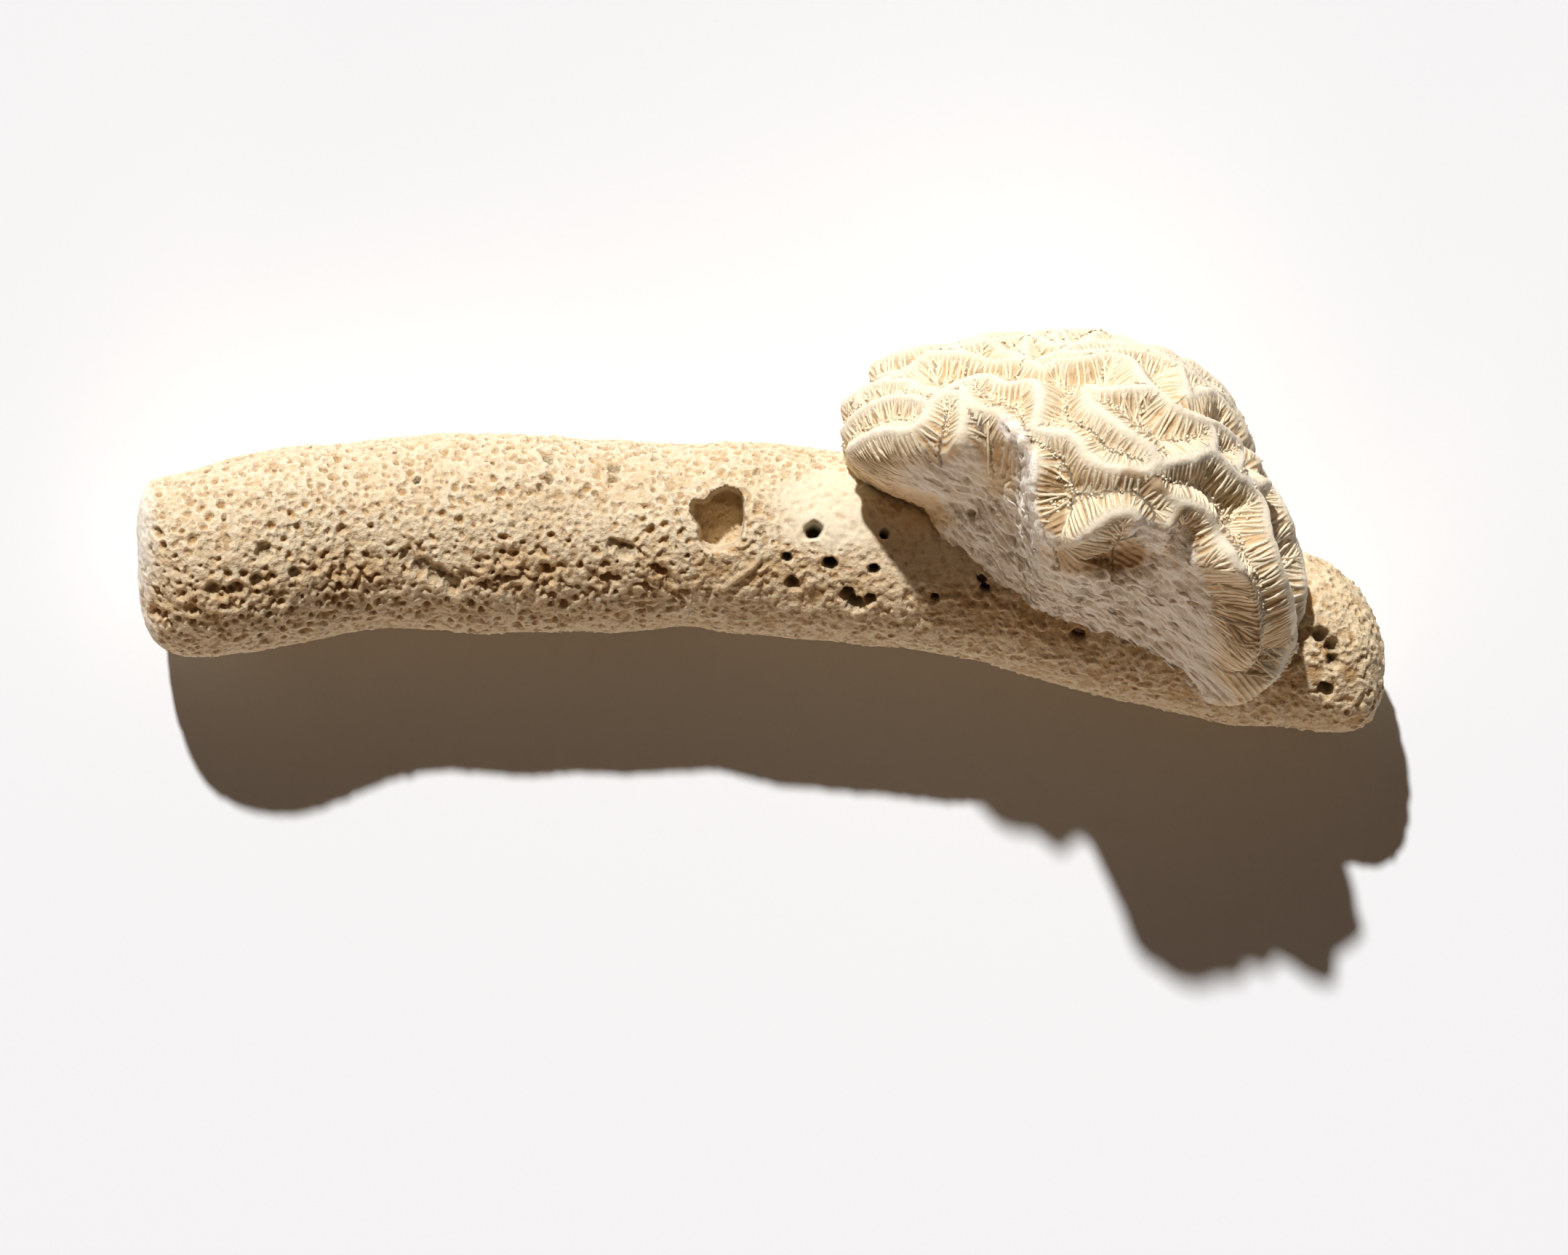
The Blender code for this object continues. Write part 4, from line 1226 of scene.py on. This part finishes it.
def colony_finish(looks):
    finish = Finish("ridged coral", 0.7, GLOW)
    beside, broken, cavity, deep = finish.attributes("beside", "broken", "cavity", "deep")
    patches = finish.grain(9, 3.0).between(0.4, 0.65)
    specks = finish.grain(1.3).between(0.42, 0.66)
    fibres = finish.grain(0.45, where=finish.fibre_place())
    stripes = finish.attribute("run").waves()
    floor = beside.between(3.4, 5.4)
    flank = beside.between(0.2, 1.7) * (1 - floor)

    ground = finish.layered(
        looks.crest_colour,
        (floor, looks.valley_colour),
        (floor * (1 - specks) * 0.5, looks.gap_colour),
        # warm golden shade painted between the septa
        (flank * (1 - stripes.between(0.35, 0.95)), looks.gap_colour),
        (flank * stripes * 0.6, looks.septum_colour),
        (patches * 0.25, COLONY_PATCH),
        # shade painted under overhangs and in deep grooves
        (deep * 0.75, DEEP_GROOVE_SHADE),
    )
    worn = finish.layered(
        looks.broken_colour,
        (specks * 0.5, FRONT_SPECK),
        ((1 - fibres.between(0.34, 0.5)) * 0.3, FRONT_SHADE),
        (cavity * 0.7, FRONT_CAVITY),
    )
    finish.colour(finish.mix(broken, ground, worn))
    finish.bumps(
        (stripes * flank * (1 - broken), 0.22 * MM),
        (fibres * broken, 0.28 * MM),
        (finish.grain(0.55, 3.0, 0.65), 0.16 * MM),
    )
    return finish.material


# Septa, spines and strands
class Ground:
    """The colony's surface, as something that small pieces can stand on."""

    def __init__(self, colony, broken, floor):
        self.points = vertex_array(colony)
        self.normals = vertex_array(colony, "normal")
        self.broken, self.floor = broken, floor
        faces = [tuple(face.vertices) for face in colony.polygons]
        self.tree = bvhtree.BVHTree.FromPolygons(self.points.tolist(), faces)
        self.face_broken = broken[np.array(faces)].mean(axis=1)

    def nearest(self, point):
        """(foot, normal, face) on the surface."""
        return self.tree.find_nearest(point)[:3]

    def walk(self, start, heading, step, count, stop):
        """(foot, normal) every step along the surface, until stop(foot, face, steps) says so."""
        foot, normal, face = self.nearest(start)
        stations = [(foot, normal)]
        for i in range(1, count + 1):
            heading = (heading - normal * heading.dot(normal)).normalized()
            before = normal
            foot, normal, face = self.nearest(foot + heading * step)
            if normal.dot(before) < SHARPEST_TURN or stop(foot, face, i):
                break
            stations.append((foot, normal))
        return stations

    def scattered(self, weights, count, seed):
        """(place, normal) of that many vertices, picked more often where the weights are high."""
        numbers = np.random.default_rng(seed)
        picked = numbers.choice(len(self.points), count, replace=False, p=weights / weights.sum())
        return [(Vector(self.points[i]), Vector(self.normals[i])) for i in picked]


def closed_ridge(bm, profile):
    """A ridge of length 1: a grid rolled up along the profile, welded and pinched shut at both ends."""
    rows = len(profile) - 1
    bmesh.ops.create_grid(bm, x_segments=RIDGE_STEPS, y_segments=rows, size=0.5)
    for vertex in bm.verts:
        share, row = vertex.co.x + 0.5, round((vertex.co.y + 0.5) * rows)
        pinched = 0 if min(share, 1 - share) < 0.001 else 1
        vertex.co = (share, profile[row][0] * pinched, profile[row][1] * pinched)
    bmesh.ops.remove_doubles(bm, verts=bm.verts[:], dist=0.0001)
    bmesh.ops.recalc_face_normals(bm, faces=bm.faces[:])


class Copies:
    """Many bent copies of one small closed shape, joined into one mesh."""

    def __init__(self, name, builder):
        self.shape = mesh_from(builder, name)
        self.unit = vertex_array(self.shape)
        self.faces = [tuple(face.vertices) for face in self.shape.polygons]
        self.copies = []

    def bend(self, stations, sideways, height, thickness, shift):
        """Lays a ridge along stations on the surface; its sizes are arrays, one value for each vertex."""
        share, out, up = self.unit.T
        last = len(stations) - 1
        low = np.minimum((share * last).astype(int), last - 1)
        mixed = (share * last - low)[:, None]
        feet, normals = (np.array([station[i] for station in stations]) for i in (0, 1))
        foot = feet[low] * (1 - mixed) + feet[low + 1] * mixed
        normal = normals[low] * (1 - mixed) + normals[low + 1] * mixed
        rise = np.where(up > 0, (height + RIDGE_ROOT) * up, 0.3 * up) - RIDGE_ROOT
        aside = np.array(sideways) * (out * thickness + shift)[:, None]
        self.copies.append(foot + normal * rise[:, None] + aside)

    def stand(self, foot, direction, width, height):
        """Stands an upright shape on its foot, turned to a direction."""
        turn = np.array(direction.to_track_quat("Z", "Y").to_matrix())
        self.copies.append(np.array(foot) + (self.unit * (width, width, height)) @ turn.T)

    def joined(self):
        """One mesh of all the copies, kept inside the solids' box and brought into metres."""
        points = inside_box(np.concatenate(self.copies))
        size = len(self.unit)
        faces = [tuple(v + i * size for v in face) for i in range(len(self.copies)) for face in self.faces]
        self.shape.clear_geometry()
        self.shape.from_pydata(points.tolist(), [], faces)
        into_metres(self.shape)
        return self.shape


def make_septa_mesh(crests, ground, looks):
    """Thin plates, each in the plane across its crest, whose foot follows the colony's surface."""
    height, thickness = looks.septum_height / MM, looks.septum_thickness / MM
    numbers = np.random.default_rng(5)
    septa = Copies("septa", lambda bm: closed_ridge(bm, SEPTUM_PROFILE))
    share = septa.unit[:, 0]
    column = np.round(share * RIDGE_STEPS).astype(int)
    for top, up, tangent in crests.marks(looks.septum_spacing / MM):
        for side in (-1, 1):
            luck = numbers.uniform(0, 1, 5)
            teeth = numbers.uniform(0.55, 1.25, RIDGE_STEPS + 1)[column]
            start = SEPTUM_START * (0.8 + 0.55 * luck[0])
            stations = septum_stations(crests, ground, top, up.cross(tangent).normalized() * side, start)
            if len(stations) < 3:
                continue
            distance = share * SEPTUM_STEP * (len(stations) - 1)
            grown = np.minimum(1, distance / 2.0) + 0.45 * np.minimum(1, distance / 5)
            ended = np.minimum(1, (distance[-1] - distance) / 0.8 + 0.35)
            lift = height * (0.8 + 0.3 * luck[1]) * grown * ended
            lift *= 1 + np.minimum(1, distance / 3.5) * (teeth - 1)
            thick = thickness * (0.85 + 0.25 * luck[2]) * (1 - 0.25 * share)
            septa.bend(stations, tangent, lift, thick, (0.1 * luck[3] - 0.05) * distance)
    return septa.joined()


def septum_stations(crests, ground, top, heading, start):
    """(foot, normal) down one side of a crest, for as long as that crest is the nearest one."""

    def stop(foot, face, steps):
        gap = crests.tree.find(foot)[2]
        return ground.face_broken[face] > 0.35 or foot.z < 1.2 or (foot - top).length > 1.12 * gap + 0.3

    count = int((SEPTUM_REACH - start) / SEPTUM_STEP)
    return ground.walk(top + heading * start, heading, SEPTUM_STEP, count, stop)


def make_spines_mesh(ground):
    """Small leaning spines that fill the valley floors."""
    weights = ground.floor * (1 - ground.broken) * smooth_step(8, 14, ground.points[:, 2])
    weights *= smooth_step(3.0, 5.0, -outside_front(ground.points))
    numbers = np.random.default_rng(8)
    spines = Copies(
        "valley_spines",
        lambda bm: bmesh.ops.create_cone(
            bm, cap_ends=True, segments=SPINE_SIDES, radius1=1.0, radius2=0.0, depth=1.0,
            matrix=Matrix.Translation((0, 0, 0.25)),
        ),
    )
    for place, normal in ground.scattered(weights, SPINES, 9):
        lean, shift = Vector(numbers.uniform(-0.8, 0.8, 3)), Vector(numbers.uniform(-0.2, 0.2, 3))
        width, height = numbers.uniform(*SPINE_WIDTHS), numbers.uniform(*SPINE_HEIGHTS)
        spines.stand(place + shift, (normal + lean).normalized(), width, height)
    return spines.joined()


def make_strands_mesh(ground):
    """Thin strands that run down the broken front."""
    numbers = np.random.default_rng(11)
    strands = Copies("broken_strands", lambda bm: closed_ridge(bm, STRAND_PROFILE))
    share = strands.unit[:, 0]
    taper = np.sin(math.pi * np.clip(share, 0.04, 0.96)) ** 0.6

    def stop(foot, face, steps):
        return ground.face_broken[face] < 0.4

    for place, _ in ground.scattered(smooth_step(0.5, 0.9, ground.broken), STRANDS, 12):
        way = Vector(FIBRE_WAY) + Vector(numbers.uniform(-0.3, 0.3, 3))
        luck = numbers.uniform(0, 1, 5)
        stations = ground.walk(place, way, STRAND_STEP, 3 + int(6 * luck[0]), stop)
        if len(stations) > 2:
            sideways = stations[0][1].cross(way).normalized()
            height, thickness = (0.08 + 0.18 * luck[3]) * taper, (0.14 + 0.12 * luck[4]) * taper
            bend = (0.1 + 0.25 * luck[1]) * np.sin(share * 5 + math.tau * luck[2])
            strands.bend(stations, sideways, height, thickness, bend)
    return strands.joined()


def fine_finish(name, colour, gap, share):
    """The finish of thin plates, spines and strands, which are a little darker in specks."""
    finish = Finish(name, 0.65)
    finish.colour(finish.mix(finish.grain(1.1).between(0.4, 0.7) * share, colour, gap))
    finish.bumps((finish.grain(0.4), 0.1 * MM))
    return finish.material


# Operators
class CORAL_OT_branch(bpy.types.Operator):
    """Make the worn, pitted branch"""

    bl_idname = "coral.branch"
    bl_label = "Worn Branch"

    def execute(self, context):
        looks = context.scene.coral_branch
        relief, finish = BranchRelief(looks), branch_finish(looks)
        for name, broken_half in (("branch_broken_half", True), ("branch_root_half", False)):
            add_piece(name, make_branch_mesh(relief, name, broken_half), finish, "branch")
        return {"FINISHED"}


class CORAL_OT_colony(bpy.types.Operator):
    """Make the ridged colony and its septa"""

    bl_idname = "coral.colony"
    bl_label = "Ridged Colony"

    def execute(self, context):
        looks = context.scene.coral_colony
        crests = Crests()
        mesh, broken, floor = make_colony_mesh(crests, looks)
        ground = Ground(mesh, broken, floor)
        fine_pieces = (
            ("septa", make_septa_mesh(crests, ground, looks), looks.septum_colour, looks.gap_colour, 0.25),
            ("valley_spines", make_spines_mesh(ground), SPINE_PALE, looks.gap_colour, 0.2),
            ("broken_strands", make_strands_mesh(ground), STRAND_PALE, STRAND_DARK, 0.6),
        )
        into_metres(mesh)
        add_piece("ridged_colony", mesh, colony_finish(looks), "colony")
        for name, fine_mesh, colour, gap, share in fine_pieces:
            finish = fine_finish(name.replace("_", " "), tuple(colour), tuple(gap), share)
            add_piece(name, fine_mesh, finish)
        return {"FINISHED"}


class CORAL_OT_stage(bpy.types.Operator):
    """Make the floor, the lights and the camera"""

    bl_idname = "coral.stage"
    bl_label = "Stage"

    def execute(self, context):
        scene, looks = context.scene, context.scene.coral_stage
        mesh = mesh_from(
            lambda bm: bmesh.ops.create_grid(bm, x_segments=1, y_segments=1, size=FLOOR_SIZE), "floor"
        )
        finish = Finish("pale floor", 0.9)
        finish.colour(tuple(looks.floor_colour))
        mesh.materials.append(finish.material)
        floor = bpy.data.objects.new("floor", mesh)
        scene.collection.objects.link(floor)
        for name, strength, direction, spread, colour in LIGHTS:
            self.add_sun(scene, name, direction, getattr(looks, strength), spread, colour)
        world = bpy.data.worlds.new("pale_room")
        world.use_nodes = True
        background = world.node_tree.nodes["Background"]
        background.inputs["Color"].default_value = SKY_COLOUR
        background.inputs["Strength"].default_value = looks.sky_strength
        scene.world = world
        scene.view_settings.view_transform = "Standard"
        camera = bpy.data.cameras.new("camera")
        camera.lens = looks.lens
        camera.sensor_width = SENSOR_WIDTH
        eye = bpy.data.objects.new("camera", camera)
        eye.location = Vector(SEEN_FROM) * MM
        scene.collection.objects.link(eye)
        scene.camera = eye
        return {"FINISHED"}

    def add_sun(self, scene, name, direction, strength, spread, colour):
        light = bpy.data.lights.new(name, "SUN")
        light.energy = strength
        light.angle = math.radians(spread)
        light.color = colour
        lamp = bpy.data.objects.new(name, light)
        lamp.rotation_euler = Vector(direction).to_track_quat("-Z", "Y").to_euler()
        scene.collection.objects.link(lamp)


class CORAL_PT_panel(bpy.types.Panel):
    """Buttons and values of the coral skeleton"""

    bl_idname = "CORAL_PT_panel"
    bl_label = "Coral Skeleton"
    bl_space_type = "VIEW_3D"
    bl_region_type = "UI"
    bl_category = "Coral"

    def draw(self, context):
        for operator, group in OPERATORS:
            self.layout.operator(operator.bl_idname)
            looks = getattr(context.scene, group)
            for name in looks.__annotations__:
                self.layout.prop(looks, name)


GROUPS = {"coral_branch": CoralBranchLooks, "coral_colony": CoralColonyLooks, "coral_stage": CoralStageLooks}
OPERATORS = (
    (CORAL_OT_branch, "coral_branch"),
    (CORAL_OT_colony, "coral_colony"),
    (CORAL_OT_stage, "coral_stage"),
)


def register():
    for name, group in GROUPS.items():
        bpy.utils.register_class(group)
        setattr(bpy.types.Scene, name, PointerProperty(type=group))
    for operator, _ in OPERATORS:
        bpy.utils.register_class(operator)
    bpy.utils.register_class(CORAL_PT_panel)


def unregister():
    bpy.utils.unregister_class(CORAL_PT_panel)
    for operator, _ in reversed(OPERATORS):
        bpy.utils.unregister_class(operator)
    for name, group in reversed(GROUPS.items()):
        delattr(bpy.types.Scene, name)
        bpy.utils.unregister_class(group)


def main():
    register()
    bpy.ops.coral.branch()
    bpy.ops.coral.colony()
    bpy.ops.coral.stage()


if __name__ == "__main__":
    main()
